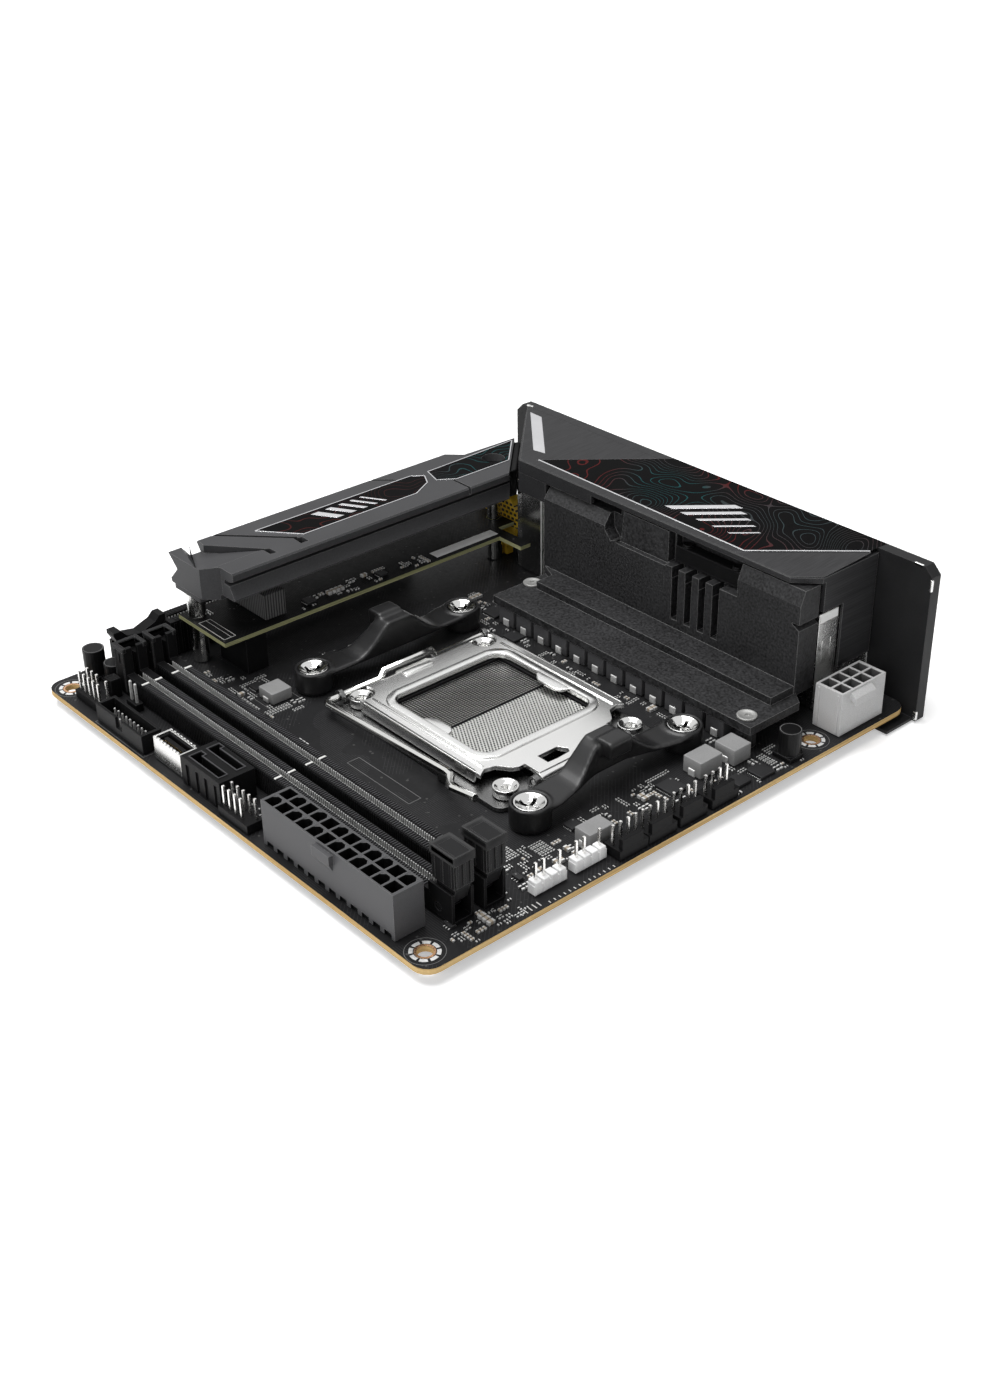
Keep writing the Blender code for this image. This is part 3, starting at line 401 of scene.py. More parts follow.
CELL_WRAP = cell_wrap()
FERRITE = grained("choke_ferrite", grey(0.2), grey(0.27), (0.46, 0.58), 0.3, 0.03, grey(0.36), shine=0.3)
DARK_FERRITE = grained(
    "inductor_ferrite", grey(0.05), grey(0.075), (0.46, 0.58), 0.3, 0.03, grey(0.14), shine=0.2
)
EPOXY = grained(
    "chip_epoxy", grey(0.016), grey(0.024), (0.36, 0.46), 0.12, 0.006, grey(0.06), 0.1, shine=0.2
)
MARK = grained("chip_marking", grey(0.12), grey(0.16), (0.4, 0.5), 0.12, 0.002)
CERAMIC = grained("tan_ceramic", (0.3, 0.25, 0.19), (0.42, 0.36, 0.29), (0.3, 0.42), 0.2, 0.004)
RESISTOR = grained("resistor_glaze", grey(0.014), grey(0.022), (0.3, 0.4), 0.2, 0.004, shine=0.2)
INK = grained("white_ink", (0.62, 0.62, 0.6), (0.72, 0.72, 0.7), (0.5, 0.6), 0.15, 0.004, shine=0.2)
# Faint board print, and also the painted highlight ringing the capacitor cans.
FAINT_INK_AND_CAN_HIGHLIGHT = grained("faint_ink_and_can_highlight", grey(0.12), grey(0.17), (0.5, 0.6), 0.15, 0.004, shine=0.2)
LABEL = grained("paper_label", (0.8, 0.8, 0.79), (0.9, 0.9, 0.89), (0.45, 0.55), 0.4, 0.004)
COVER_LABEL = grained("printed_grey", (0.4, 0.4, 0.41), (0.48, 0.48, 0.49), (0.42, 0.5), 0.3, 0.002)
PANEL = line_print("panel_print", ((0.015, 0.085, 0.09), (0.11, 0.014, 0.014)))
INLAY = line_print("inlay_print", ((0.014, 0.012, 0.012), (0.08, 0.014, 0.012)))
TONGUE_BLUE = grained("tongue_blue", (0.01, 0.06, 0.16), (0.015, 0.08, 0.2), (0.36, 0.46), 0.2, 0.006)
FAN_PINS = pin_header("fan_pin_header", 0.006, 3.05, 167)
BLACK_PINS = pin_header("black_pin_header", 0.006, 2.85)
WHITE_PINS = pin_header("white_pin_header", 0.66, 2.85)


def dress(finish, *nodes):
    """Gives a finish to CAD nodes that still show."""
    for name in nodes:
        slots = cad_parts[name].data.materials
        slots.clear()
        slots.append(finish)


dress(MASK, "main_pcb")
dress(RISER_MASK, "m2_riser_board")
dress(BLACK_STEEL, "socket_backplate", "io_shield")
dress(FRAME_STEEL, "socket_frame")
dress(WIRE, "riser_standoff_front", "heatsink_standoff", "riser_standoff_rear", "m2_heatsink_screw")
dress(TIN, "lan_usb_stack", "usb_stack_1", "usb_stack_2", "antenna_module", "usb_c_header")
dress(BLACK_MOULDED, "socket_body", "hdmi_button_block", "audio_jack_block", "riser_connector")
dress(SLOT_COMB, "m2_slot")
dress(BLACK_MOULDED, "pcie_slot", "pcie_latch", "usb_box_header")
dress(TOWER_MOULDED, "dimm_latch_1", "dimm_latch_2", "firmware_button", "reset_button")
dress(BLACK_PINS, "front_panel_header", "front_audio_header")
dress(FAN_PINS, *[f"fan_header_{i}" for i in range(1, 5)])
dress(WHITE_PINS, "light_header_1", "light_header_2")
dress(COVER, "io_cover")
dress(CAN_SLEEVE, "can_capacitor_1", "can_capacitor_2", "can_capacitor_3")
dress(CELL_WRAP, "coin_cell")


# Modelling tools


def only(piece):
    """Leaves one piece selected and active."""
    bpy.ops.object.select_all(action="DESELECT")
    piece.select_set(True)
    bpy.context.view_layer.objects.active = piece


def settle(name, finish):
    """Names the new piece, puts its place, turn and size into its mesh and gives it a finish."""
    piece = bpy.context.active_object
    piece.name = name
    bpy.ops.object.transform_apply(location=True, rotation=True, scale=True)
    piece.data.materials.append(finish)
    return piece


def block(name, finish, low, high):
    """A bar between two opposite corners."""
    low, high = Vector(low), Vector(high)
    bpy.ops.object.select_all(action="DESELECT")
    bpy.ops.mesh.primitive_cube_add(size=1, location=at(*(low + high) / 2), scale=(high - low) * MM)
    return settle(name, finish)


def drum(name, finish, foot, radius, height, sides=24, along="w", far_radius=None):
    """A round bar or cone that stands on its foot point and reaches along an axis."""
    turn = {"u": (0, math.pi / 2, 0), "v": (-math.pi / 2, 0, 0), "w": (0, 0, 0)}[along]
    reach = Vector([height if axis == along else 0 for axis in "uvw"])
    bpy.ops.object.select_all(action="DESELECT")
    bpy.ops.mesh.primitive_cone_add(
        vertices=sides,
        radius1=radius * MM,
        radius2=(radius if far_radius is None else far_radius) * MM,
        depth=height * MM,
        location=at(*(Vector(foot) + reach / 2)),
        rotation=turn,
    )
    return settle(name, finish)


@contextmanager
def editing(piece, test=None):
    """Edit mode on the faces whose middle, in board millimetres, and normal pass a test."""
    only(piece)
    bpy.ops.object.mode_set(mode="EDIT")
    bpy.ops.mesh.select_mode(type="FACE")
    bpy.ops.mesh.select_all(action="SELECT" if test is None else "DESELECT")
    if test:
        bpy.ops.object.mode_set(mode="OBJECT")
        for face in piece.data.polygons:
            face.select = test(board_mm(face.center), face.normal)
        bpy.ops.object.mode_set(mode="EDIT")
    yield
    bpy.ops.object.mode_set(mode="OBJECT")


def facing(u=0, v=0, w=0):
    """A test for faces that look along one direction."""
    way = Vector((u, v, w))
    return lambda middle, normal: normal.dot(way) > 0.9


def extrude(piece, test, move):
    """Pushes new walls out of the faces that pass a test."""
    with editing(piece, test):
        bpy.ops.mesh.extrude_region_move(TRANSFORM_OT_translate={"value": Vector(move) * MM})
    return piece


def inset(piece, test, margin, depth=0.0):
    """Draws a margin inside the faces that pass a test, and moves them by a depth."""
    with editing(piece, test):
        bpy.ops.mesh.inset(thickness=margin * MM, depth=depth * MM)
    return piece


def slide(piece, test, move):
    """Moves the faces that pass a test."""
    with editing(piece, test):
        bpy.ops.transform.translate(value=Vector(move) * MM)
    return piece


def plate(name, finish, outline, low, high):
    """A plate cut to an outline of (u, v) corners, between two heights."""
    bpy.ops.object.select_all(action="DESELECT")
    bpy.ops.mesh.primitive_circle_add(vertices=len(outline), radius=MM, fill_type="NGON")
    piece = settle(name, finish)
    for corner, (u, v) in zip(piece.data.vertices, outline):
        corner.co = at(u, v, low)
    with editing(piece):
        bpy.ops.mesh.extrude_region_move(TRANSFORM_OT_translate={"value": (0, 0, (high - low) * MM)})
        bpy.ops.mesh.select_all(action="SELECT")
        bpy.ops.mesh.normals_make_consistent(inside=False)
    return piece


def wedge(name, finish, corners, high):
    """A block with a flat top whose lower corners are given as (u, v, w)."""
    piece = plate(name, finish, [corner[:2] for corner in corners], 0, high)
    for vertex, corner in zip(piece.data.vertices, corners):
        vertex.co = at(*corner)
    return piece


def bar(name, finish, start, end, width, low, high):
    """A straight strip from one (u, v) point to another."""
    start, end = Vector(start), Vector(end)
    side = (end - start).orthogonal().normalized() * width / 2
    return plate(name, finish, [start - side, end - side, end + side, start + side], low, high)


def sector(inner, outer, start, end, steps=8):
    """Outline of a ring segment about the board corner, between two angles in degrees."""
    turns = [math.radians(start + (end - start) * i / steps) for i in range(steps + 1)]
    outside = [(outer * math.cos(turn), outer * math.sin(turn)) for turn in turns]
    return outside + [(inner * math.cos(turn), inner * math.sin(turn)) for turn in reversed(turns)]


def rounded_square(centre, side, radius, steps=5):
    """Outline of a square with round corners."""
    points = []
    for quarter in range(4):
        turn = math.radians(45 + 90 * quarter)
        reach = (side / 2 - radius) * math.sqrt(2)
        u, v = centre[0] + reach * math.cos(turn), centre[1] + reach * math.sin(turn)
        for i in range(steps + 1):
            angle = math.radians(90 * quarter + 90 * i / steps)
            points.append((u + radius * math.cos(angle), v + radius * math.sin(angle)))
    return points


def finished(piece, modifier):
    """Applies a modifier."""
    only(piece)
    bpy.ops.object.modifier_apply(modifier=modifier.name)
    return piece


def soften(piece, width, segments=1):
    """Rounds off the sharp edges."""
    bevel = piece.modifiers.new("soft_edges", "BEVEL")
    bevel.width = width * MM
    bevel.segments = segments
    bevel.limit_method = "ANGLE"
    bevel.angle_limit = math.radians(35)
    return finished(piece, bevel)


def carve(piece, *cutters):
    """Cuts other pieces out of one."""
    for cutter in cutters:
        cut = piece.modifiers.new("cut", "BOOLEAN")
        cut.operation = "DIFFERENCE"
        cut.solver = "EXACT"
        cut.object = cutter
        finished(piece, cut)
        bpy.data.objects.remove(cutter)
    return piece


def row(piece, count, step):
    """Repeats a piece in a straight row."""
    array = piece.modifiers.new("row", "ARRAY")
    array.count = count
    array.use_relative_offset = False
    array.use_constant_offset = True
    array.constant_offset_displace = Vector(step) * MM
    return finished(piece, array)


def joined(name, pieces):
    """Makes one named piece of several."""
    bpy.ops.object.select_all(action="DESELECT")
    for piece in pieces:
        piece.select_set(True)
    bpy.context.view_layer.objects.active = pieces[0]
    bpy.ops.object.join()
    pieces[0].name = name
    return pieces[0]


def ring(finish, inner, outer, low, high, steps=8):
    """A flat ring about the board corner, made in two halves."""
    halves = [sector(inner, outer, start, start + 180, steps) for start in (0, 180)]
    return joined("ring", [plate("half", finish, half, low, high) for half in halves])


def beside(middle, side, near, far):
    """The ends, lower first, of a strip on one side of a middle line."""
    return sorted((middle + side * near, middle + side * far))


def copies(name, master, places):
    """One piece made of copies of a master modelled at the board corner, at (u, v, w, turn) places."""
    made = []
    for u, v, w, turn in places:
        copy = master.copy()
        copy.data = master.data.copy()
        bpy.context.scene.collection.objects.link(copy)
        spin = Matrix.Rotation(math.radians(turn), 4, "Z")
        copy.matrix_world = Matrix.Translation(at(u, v, w)) @ spin @ Matrix.Translation(-CORNER)
        made.append(copy)
    bpy.data.objects.remove(master)
    bpy.ops.object.select_all(action="DESELECT")
    for copy in made:
        copy.select_set(True)
    bpy.context.view_layer.objects.active = made[0]
    bpy.ops.object.transform_apply(location=True, rotation=True, scale=True)
    return joined(name, made)


def smooth(piece, angle=35):
    """Shades a piece smooth, but for edges sharper than an angle in degrees."""
    only(piece)
    bpy.ops.object.shade_smooth_by_angle(angle=math.radians(angle))
    return piece


def from_solid(name, finish, node):
    """A copy of a CAD solid with its loose triangles merged into whole faces."""
    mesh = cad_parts[node].data.copy()
    piece = bpy.data.objects.new(name, mesh)
    bpy.context.scene.collection.objects.link(piece)
    mesh.materials.clear()
    mesh.materials.append(finish)
    with editing(piece):
        bpy.ops.mesh.remove_doubles(threshold=MM * 0.001)
        bpy.ops.mesh.dissolve_limited(angle_limit=math.radians(0.5))
    return piece


def fit(piece, body="board", stands_for=()):
    """Attaches a piece to the body it rides on, and hides the solids it stands for."""
    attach(piece, body)
    if stands_for:
        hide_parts(*stands_for)
    return piece


# Bare board: pads, print, soldered joints and small parts

HOLES = ((6.35, 5.08), (163.65, 5.08), (163.65, 136.98), (6.35, 159.84))
BOARD_TOP = 0.0
UNDERSIDE = -1.6
RISER_TOP = 14.0
PAD_THICK = 0.05
INK_THICK = 0.02
POWER_PITCH = 4.2
PIN_PITCH = 2.54


def mounting_pads():
    """Eight tinned segments and a bare copper rim round each board hole, on both faces."""
    pad = plate("pad", SOLDER, sector(2.75, 3.75, -17, 17), 0, PAD_THICK)
    rim = ring(COPPER, 2.02, 2.6, 0, PAD_THICK)
    faces = (0, UNDERSIDE - PAD_THICK)
    turns = range(0, 360, 45)
    pads = copies("pads", pad, [(u, v, w, turn) for u, v in HOLES for w in faces for turn in turns])
    rims = copies("rims", rim, [(u, v, w, 0) for u, v in HOLES for w in faces])
    fit(joined("mounting_pads", [pads, rims]))


def ink_frame(low, high, width=0.18, ink=INK):
    """Four printed lines round a rectangle."""
    corners = [low, (high[0], low[1]), high, (low[0], high[1])]
    return [bar("line", ink, a, b, width, 0, INK_THICK) for a, b in zip(corners, corners[1:] + corners[:1])]


def board_print():
    """Printed outlines round headers, holes and parts, and rows of ticks."""
    hole_ring = ring(FAINT_INK_AND_CAN_HIGHLIGHT, 4.72, 4.88, 0, INK_THICK, 24)
    lines = [copies("rings", hole_ring, [(u, v, 0, 0) for u, v in HOLES])]
    lines += ink_frame((89.7, 39.0), (115.5, 42.9), 0.2, FAINT_INK_AND_CAN_HIGHLIGHT)
    lines += ink_frame((26.7, 0.7), (51.3, 7.9), 0.16, FAINT_INK_AND_CAN_HIGHLIGHT)
    lines += ink_frame((44.6, 39.6), (54.4, 49.4), 0.16, FAINT_INK_AND_CAN_HIGHLIGHT)
    for start, length, width, count, step in (
        ((62.0, 35.6), 1.6, 0.22, 16, (5.6, 0, 0)),
        ((167.0, 30.0), 1.8, 0.3, 5, (0, 1.4, 0)),
        ((168.6, 38.0), 0.8, 0.25, 14, (0, 1.6, 0)),
    ):
        tick = bar("tick", INK, start, (start[0] + length, start[1]), width, 0, INK_THICK)
        lines.append(row(tick, count, step))
    fit(joined("board_print", lines))


JOINT_ROWS = (
    (12, (POWER_PITCH, 0), ((108.0, 4.3), (108.0, 8.5))),
    (4, (0, POWER_PITCH), ((161.4, 145.7), (165.6, 145.7))),
    (10, (2.0, 0), ((30.0, 3.2), (30.0, 5.2))),
    (5, (PIN_PITCH, 0), ((88.3, 2.2), (88.3, 4.74), (13.0, 4.6), (13.0, 7.14))),
    (41, (0, 2.0), ((5.6, 40.0), (8.4, 40.0))),
    (4, (0, PIN_PITCH), ((165.4, 61.8), (165.4, 71.8), (165.4, 82.6), (165.4, 94.0))),
    (4, (0, PIN_PITCH), ((164.2, 37.9), (164.2, 50.9))),
    (6, (2.4, 0), ((36.0, 151.0), (36.0, 155.0))),
    (5, (2.5, 0), ((142.0, 151.0), (142.0, 155.0), (94.2, 155.0), (94.2, 159.0))),
)


def soldered_joints():
    """Cones of solder under the through-hole pins, in rows of a count, a step and first places."""
    joint = drum("joint", SOLDER, (0, 0, UNDERSIDE - 0.75), 0.25, 0.8, 8, far_radius=0.62)
    places = []
    for count, (step_u, step_v), starts in JOINT_ROWS:
        for u, v in starts:
            places += [(u + step_u * i, v + step_v * i, 0, 0) for i in range(count)]
    fit(smooth(copies("soldered_joints", joint, places)))


def chip(name, body, length, width, height):
    """A two-ended part at the board corner, with soldered metal ends."""
    end = length * 0.28
    low, high = (end - length / 2, -width / 2, 0.02), (length / 2 - end, width / 2, height)
    piece = block(name, body, low, high)
    piece.data.materials.append(SOLDER)
    for way in (1, -1):
        extrude(piece, facing(u=way), (way * end, 0, 0))
    for face in piece.data.polygons:
        face.material_index = int(abs(board_mm(face.center).x) > length / 2 - end)
    return piece


PART_KINDS = (
    ("ceramic_large", CERAMIC, 1.9, 1.1, 0.9),
    ("ceramic_small", CERAMIC, 1.1, 0.6, 0.5),
    ("resistor_large", RESISTOR, 1.7, 0.9, 0.5),
    ("resistor_small", RESISTOR, 1.05, 0.55, 0.35),
)
PART_SHARES = (1, 2, 2, 7)
PART_CLEARANCE = 0.15
PART_GAP = 0.4
GRID_STEP = (1.4, 0.9)
TRIES_PER_PART = 40
BOARD_GRIDS = (
    (146.2, 90.2, 3, 8),
    (146.2, 67.4, 2, 5),
    (150.2, 48.8, 4, 5),
    (146.0, 41.0, 4, 5),
    (160.4, 119.8, 4, 3),
    (157.6, 123.6, 2, 5),
    (38.2, 40.6, 3, 6),
    (44.4, 35.4, 6, 3),
    (54.8, 37.6, 2, 9),
)
BOARD_ZONES = (
    (36.0, 60.0, 34.0, 50.0, 34),
    (38.0, 60.0, 112.0, 128.0, 34),
    (60.0, 148.0, 112.6, 118.6, 60),
    (147.5, 162.5, 58.0, 100.0, 56),
    (147.5, 162.0, 34.0, 57.0, 44),
    (158.0, 169.4, 11.0, 33.0, 40),
    (156.0, 169.4, 100.0, 135.0, 24),
    (52.0, 104.0, 8.8, 13.8, 24),
    (60.0, 150.0, 32.4, 37.0, 20),
    (2.0, 15.0, 20.0, 34.0, 12),
    (37.5, 46.5, 56.0, 110.0, 26),
    (24.0, 36.0, 34.0, 46.0, 14),
)
RISER_ZONES = ((28.0, 35.4, 63.0, 114.0, 46), (14.0, 20.4, 38.8, 45.6, 5))


def standing_on_board(level):
    """Footprints of the solids that reach down to a board's face, as (u0, u1, v0, v1)."""
    prints = []
    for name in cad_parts:
        low, high = (board_mm(corner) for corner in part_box(name))
        if low.z - level < 2 and high.z - level > 0.5 and high.x - low.x < 150:
            prints.append((low.x, high.x, low.y, high.y))
    return prints


def scattered(zones, grids, taken, seed):
    """Blocks and short rows of parts, clear of what is taken, sorted by kind."""
    dice = random.Random(seed)
    places = {kind[0]: [] for kind in PART_KINDS}

    def place(kind, u, v, turn, length, width, bounds=None):
        """Takes a spot for a part if it is free and inside the bounds."""
        half_u, half_v = (length / 2, width / 2) if turn == 0 else (width / 2, length / 2)
        low_u, high_u = u - half_u - PART_CLEARANCE, u + half_u + PART_CLEARANCE
        low_v, high_v = v - half_v - PART_CLEARANCE, v + half_v + PART_CLEARANCE
        spot = (low_u, high_u, low_v, high_v)
        if bounds and not (bounds[0] < spot[0] and spot[1] < bounds[1]):
            return False
        if bounds and not (bounds[2] < spot[2] and spot[3] < bounds[3]):
            return False
        if any(spot[0] < t[1] and spot[1] > t[0] and spot[2] < t[3] and spot[3] > t[2] for t in taken):
            return False
        taken.append(spot)
        places[kind].append((u, v, turn))
        return True

    kind, _, length, width, _ = PART_KINDS[-1]
    for u, v, columns, rows in grids:
        for i in range(columns):
            for j in range(rows):
                place(kind, u + GRID_STEP[0] * i, v + GRID_STEP[1] * j, 0, length, width)
    for u0, u1, v0, v1, wanted in zones:
        placed, tries = 0, 0
        while placed < wanted and tries < wanted * TRIES_PER_PART:
            tries += 1
            kind, _, length, width, _ = dice.choices(PART_KINDS, PART_SHARES)[0]
            turn = dice.choice((0, 90))
            u, v = dice.uniform(u0, u1), dice.uniform(v0, v1)
            for i in range(dice.choice((1, 2, 2, 3, 4, 5))):
                shift = i * (width + PART_GAP)
                spot = (u, v + shift) if turn == 0 else (u + shift, v)
                placed += place(kind, *spot, turn, length, width, (u0, u1, v0, v1))
    return places


def small_parts(name, zones, grids, level, taken, seed):
    """All the scattered chips of a board as one piece."""
    rows = []
    places = scattered(zones, grids, taken, seed)
    for kind, body, length, width, height in PART_KINDS:
        if places[kind]:
            spots = [(u, v, level, turn) for u, v, turn in places[kind]]
            rows.append(copies(kind, chip(kind, body, length, width, height), spots))
    fit(joined(name, rows))


def chip_package(name, length, width, height, leads, reach):
    """A moulded chip at the board corner, with a pin-one dot and leads along two sides."""
    case = soften(block(name, EPOXY, (-length / 2, -width / 2, 0.1), (length / 2, width / 2, height)), 0.1)
    dot = drum("dot", MARK, (0.7 - length / 2, width / 2 - 0.7, height - 0.01), 0.25, 0.02, 12)
    pitch = length * 0.86 / leads
    first = -pitch * (leads - 1) / 2
    rows = []
    for side in SIDES:
        ends = beside(0, side, width / 2 - 0.2, width / 2 + reach)
        lead = block("lead", SOLDER, (first - 0.12, ends[0], 0.02), (first + 0.12, ends[1], 0.22))
        rows.append(row(soften(lead, 0.04), leads, (pitch, 0, 0)))
    return joined(name, [case, dot, *rows])


BOARD_CHIPS = (
    (155.1, 92.7, 6.0, 5.6, 1.0, 10, 0.12),
    (164.5, 107.6, 4.6, 4.8, 1.0, 8, 0.12),
    (165.4, 115.0, 5.4, 5.2, 1.0, 8, 0.12),
    (150.4, 62.8, 3.6, 3.6, 0.9, 6, 0.12),
    (53.4, 122.0, 5.8, 5.6, 0.9, 10, 0.12),
    (68.8, 115.9, 5.0, 4.6, 0.9, 8, 0.12),
    (41.6, 44.0, 4.0, 4.0, 0.9, 6, 0.12),
    (96.0, 10.6, 4.9, 3.9, 1.2, 4, 0.9),
    (157.4, 38.4, 2.9, 1.5, 1.0, 3, 0.5),
    (160.4, 15.0, 2.9, 1.5, 1.0, 3, 0.5),
    (42.0, 92.0, 5.0, 5.0, 0.9, 8, 0.12),
    (42.4, 70.0, 4.9, 3.9, 1.2, 4, 0.9),
)
RISER_CHIPS = ((31.6, 70.0, 3.4, 3.4, 0.9, 6, 0.12), (32.0, 96.0, 3.0, 3.0, 0.9, 5, 0.12))


def board_chips(name, chips, level, taken):
    """All the moulded chips of a board as one piece."""
    made = []
    for u, v, length, width, height, leads, reach in chips:
        case = chip_package("chip", length, width, height, leads, reach)
        made.append(copies("chip", case, [(u, v, level, 0)]))
        half_u, half_v = length / 2 + 0.3, width / 2 + reach + 0.3
        taken.append((u - half_u, u + half_u, v - half_v, v + half_v))
    fit(joined(name, made))


def choke(name, body, length, width, height):
    """A moulded choke at the board corner, with a stepped top and a bent terminal on two sides."""
    case = block(name, body, (-length / 2, -width / 2, 0.2), (length / 2, width / 2, height))
    inset(case, facing(w=1), 0.6, -0.12)
    smooth(soften(case, 0.25, 2))
    ends = []
    for side in SIDES:
        low = (-length * 0.18, side * width / 2 - 0.2, 0.02)
        high = (length * 0.18, side * width / 2 + 0.2, height * 0.42)
        terminal = block("terminal", SOLDER, low, high)
        inset(terminal, facing(v=side), 0.25, 0.12)
        ends.append(soften(terminal, 0.06))
    return joined(name, [case, *ends])


INDUCTOR_LINE = [61.4 + 7.6 * i for i in range(12)]
SINGLE_CHOKES = (
    (158.6, 62.2, 5.4, 8.0, 5.0),
    (154.4, 105.0, 6.2, 8.2, 5.0),
    (155.6, 115.0, 7.0, 6.4, 5.0),
    (49.5, 44.5, 6.6, 6.6, 3.6),
)


def power_chokes(taken):
    """The inductor row under the heatsink's front edge, and the single chokes."""
    places = [(u, 122.7, 0, 0) for u in INDUCTOR_LINE]
    fit(copies("inductor_row", choke("inductor", DARK_FERRITE, 6.4, 6.6, 5.5), places))
    made = []
    for u, v, length, width, height in SINGLE_CHOKES:
        made.append(copies("choke", choke("choke", FERRITE, length, width, height), [(u, v, 0, 0)]))
        taken.append((u - length / 2, u + length / 2, v - width / 2 - 0.4, v + width / 2 + 0.4))
    fit(joined("single_chokes", made))


# Processor socket

SOCKET = (98.0, 82.1)
FIELD_HALF = 19.1


def trim(piece, point, way):
    """Cuts away what lies beyond a point along a direction."""
    with editing(piece):
        bpy.ops.mesh.bisect(plane_co=at(*point), plane_no=way, use_fill=True, clear_outer=True)


def contact_half(name, low_u, high_u, leaf_size, pitch, lift, slope):
    """Rows of contact leaves. Lift raises each leaf's +u side, or its -u side where it is negative."""
    low_v, high_v = SOCKET[1] - FIELD_HALF, SOCKET[1] + FIELD_HALF
    high = (low_u + leaf_size[0], low_v + leaf_size[1], 2.62)
    leaf = block(name, CONTACT, (low_u, low_v, 2.5), high)
    slide(leaf, facing(u=1 if lift > 0 else -1), (0, 0, abs(lift)))
    count = int((high_u - low_u) / pitch[0]) + 1
    row(leaf, count, (pitch[0], slope * pitch[0], 0))
    row(leaf, int((high_v - low_v + abs(slope) * (high_u - low_u)) / pitch[1]) + 1, (0, pitch[1], 0))
    trim(leaf, (0, low_v, 0), (0, -1, 0))
    trim(leaf, (0, high_v, 0), (0, 1, 0))
    trim(leaf, (high_u, 0, 0), (1, 0, 0))
    fit(leaf)


def contact_field():
    """The two halves of the contact field and the bar between them."""
    left, right = SOCKET[0] - FIELD_HALF, SOCKET[0] + FIELD_HALF
    contact_half("contact_leaves_left", left, SOCKET[0] - 0.6, (0.44, 0.56), (0.86, 0.94), 0.05, 0.0)
    contact_half("contact_leaves_right", SOCKET[0] + 0.6, right, (0.86, 0.5), (0.9, 0.98), -0.16, -0.6)
    low = (SOCKET[0] - 0.35, SOCKET[1] - FIELD_HALF, 2.3)
    high = (SOCKET[0] + 0.35, SOCKET[1] + FIELD_HALF, 2.95)
    fit(soften(block("contact_divider", BLACK_MOULDED, low, high), 0.12))


def load_plate():
    """The clamping frame: a raised rim round the window, folded long edges and scalloped corners."""
    steel = from_solid("load_plate_steel", NICKEL, "socket_load_plate")
    scallop = [(125.4, 53.0), (121.9, 58.6), (122.6, 61.7), (126.2, 64.4), (128.0, 67.8), (130.6, 67.8)]
    scallop.append((130.6, 53.0))
    hole = [(126.5, 72.8), (126.5, 79.6), (129.0, 81.2), (130.4, 80.4), (130.7, 76.0), (130.5, 72.8)]
    mirrored = [(u, 2 * SOCKET[1] - v) for u, v in scallop]
    window = rounded_square(SOCKET, 39.6, 4.3)
    for outline in (scallop, mirrored, hole, window):
        carve(steel, plate("cutter", NICKEL, outline, 3.0, 7.0))
    rim = plate("window_rim", NICKEL, rounded_square(SOCKET, 44.4, 6.2), 4.9, 5.55)
    carve(rim, plate("cutter", NICKEL, window, 4.0, 7.0))
    parts = [steel, soften(rim, 0.4, 3)]
    for side in SIDES:
        line = SOCKET[1] + side * 25.7
        fold = bar("fold", NICKEL, (74.6, line), (121.6, line), 0.9, 2.1, 5.0)
        slide(fold, facing(w=-1), (0, side * 0.7, 0))
        parts.append(soften(fold, 0.3, 3))
        line = SOCKET[1] + side * 23.2
        parts.append(soften(bar("roll", NICKEL, (75.0, line), (121.0, line), 0.8, 4.8, 5.3), 0.22, 3))
    near_tab = [(92.4, 61.9), (93.6, 63.8), (95.4, 65.0), (101.4, 65.0), (102.8, 64.0), (103.4, 61.9)]
    far_tab = [(94.3, 102.4), (95.6, 100.2), (98.2, 98.6), (104.6, 98.6), (106.6, 99.6), (107.9, 102.4)]
    for outline in (near_tab, far_tab):
        parts.append(soften(plate("tab", NICKEL, outline, 4.5, 5.5), 0.32, 3))
    relief = block("relief", NICKEL, (69.2, 73.6, 4.9), (71.4, 83.4, 5.5))
    parts.append(soften(relief, 0.28, 3))
    plate_piece = smooth(joined("load_plate_steel", parts))
    fit(plate_piece, "load_plate", ["socket_load_plate"])


def lever_wire():
    """The bent wire that holds the plate down: stouter than its solid, the arm sprung up to its hook."""
    wire = from_solid("lever_wire", WIRE, "socket_lever")
    with editing(wire):
        bpy.ops.transform.shrink_fatten(value=0.14 * MM)
    slide(wire, lambda middle, normal: middle.x > 113.5, (5.0, 0, 2.6))
    slide(wire, lambda middle, normal: middle.x > 122.5, (0.6, -1.0, 0))
    fit(smooth(wire), "lever", ["socket_lever"])


def cooler_brackets():
    """The two moulded cooler brackets with every edge run out softly."""
    for side in ("left", "right"):
        piece = from_solid(f"bracket_moulding_{side}", BRACKET_BLACK, f"cooler_bracket_{side}")
        skin = piece.modifiers.new("skin", "REMESH")
        skin.mode = "VOXEL"
        skin.voxel_size = 0.4 * MM
        finished(piece, skin)
        relax = piece.modifiers.new("relax", "SMOOTH")
        relax.factor = 0.5
        relax.iterations = 14
        finished(piece, relax)
        fit(smooth(piece, 180), stands_for=[f"cooler_bracket_{side}"])


def cross_outline(reach, half):
    """Outline of a cross recess about the board corner."""
    points = []
    for quarter in range(4):
        turn = Matrix.Rotation(math.radians(90 * quarter), 2)
        points += [turn @ Vector(point) for point in ((reach, -half), (reach, half), (half, half))]
    return points


def star_outline(reach, waist):
    """Outline of a six-pointed drive about the board corner."""
    turns = [(math.radians(30 * i), waist if i % 2 else reach) for i in range(12)]
    return [(radius * math.cos(turn), radius * math.sin(turn)) for turn, radius in turns]


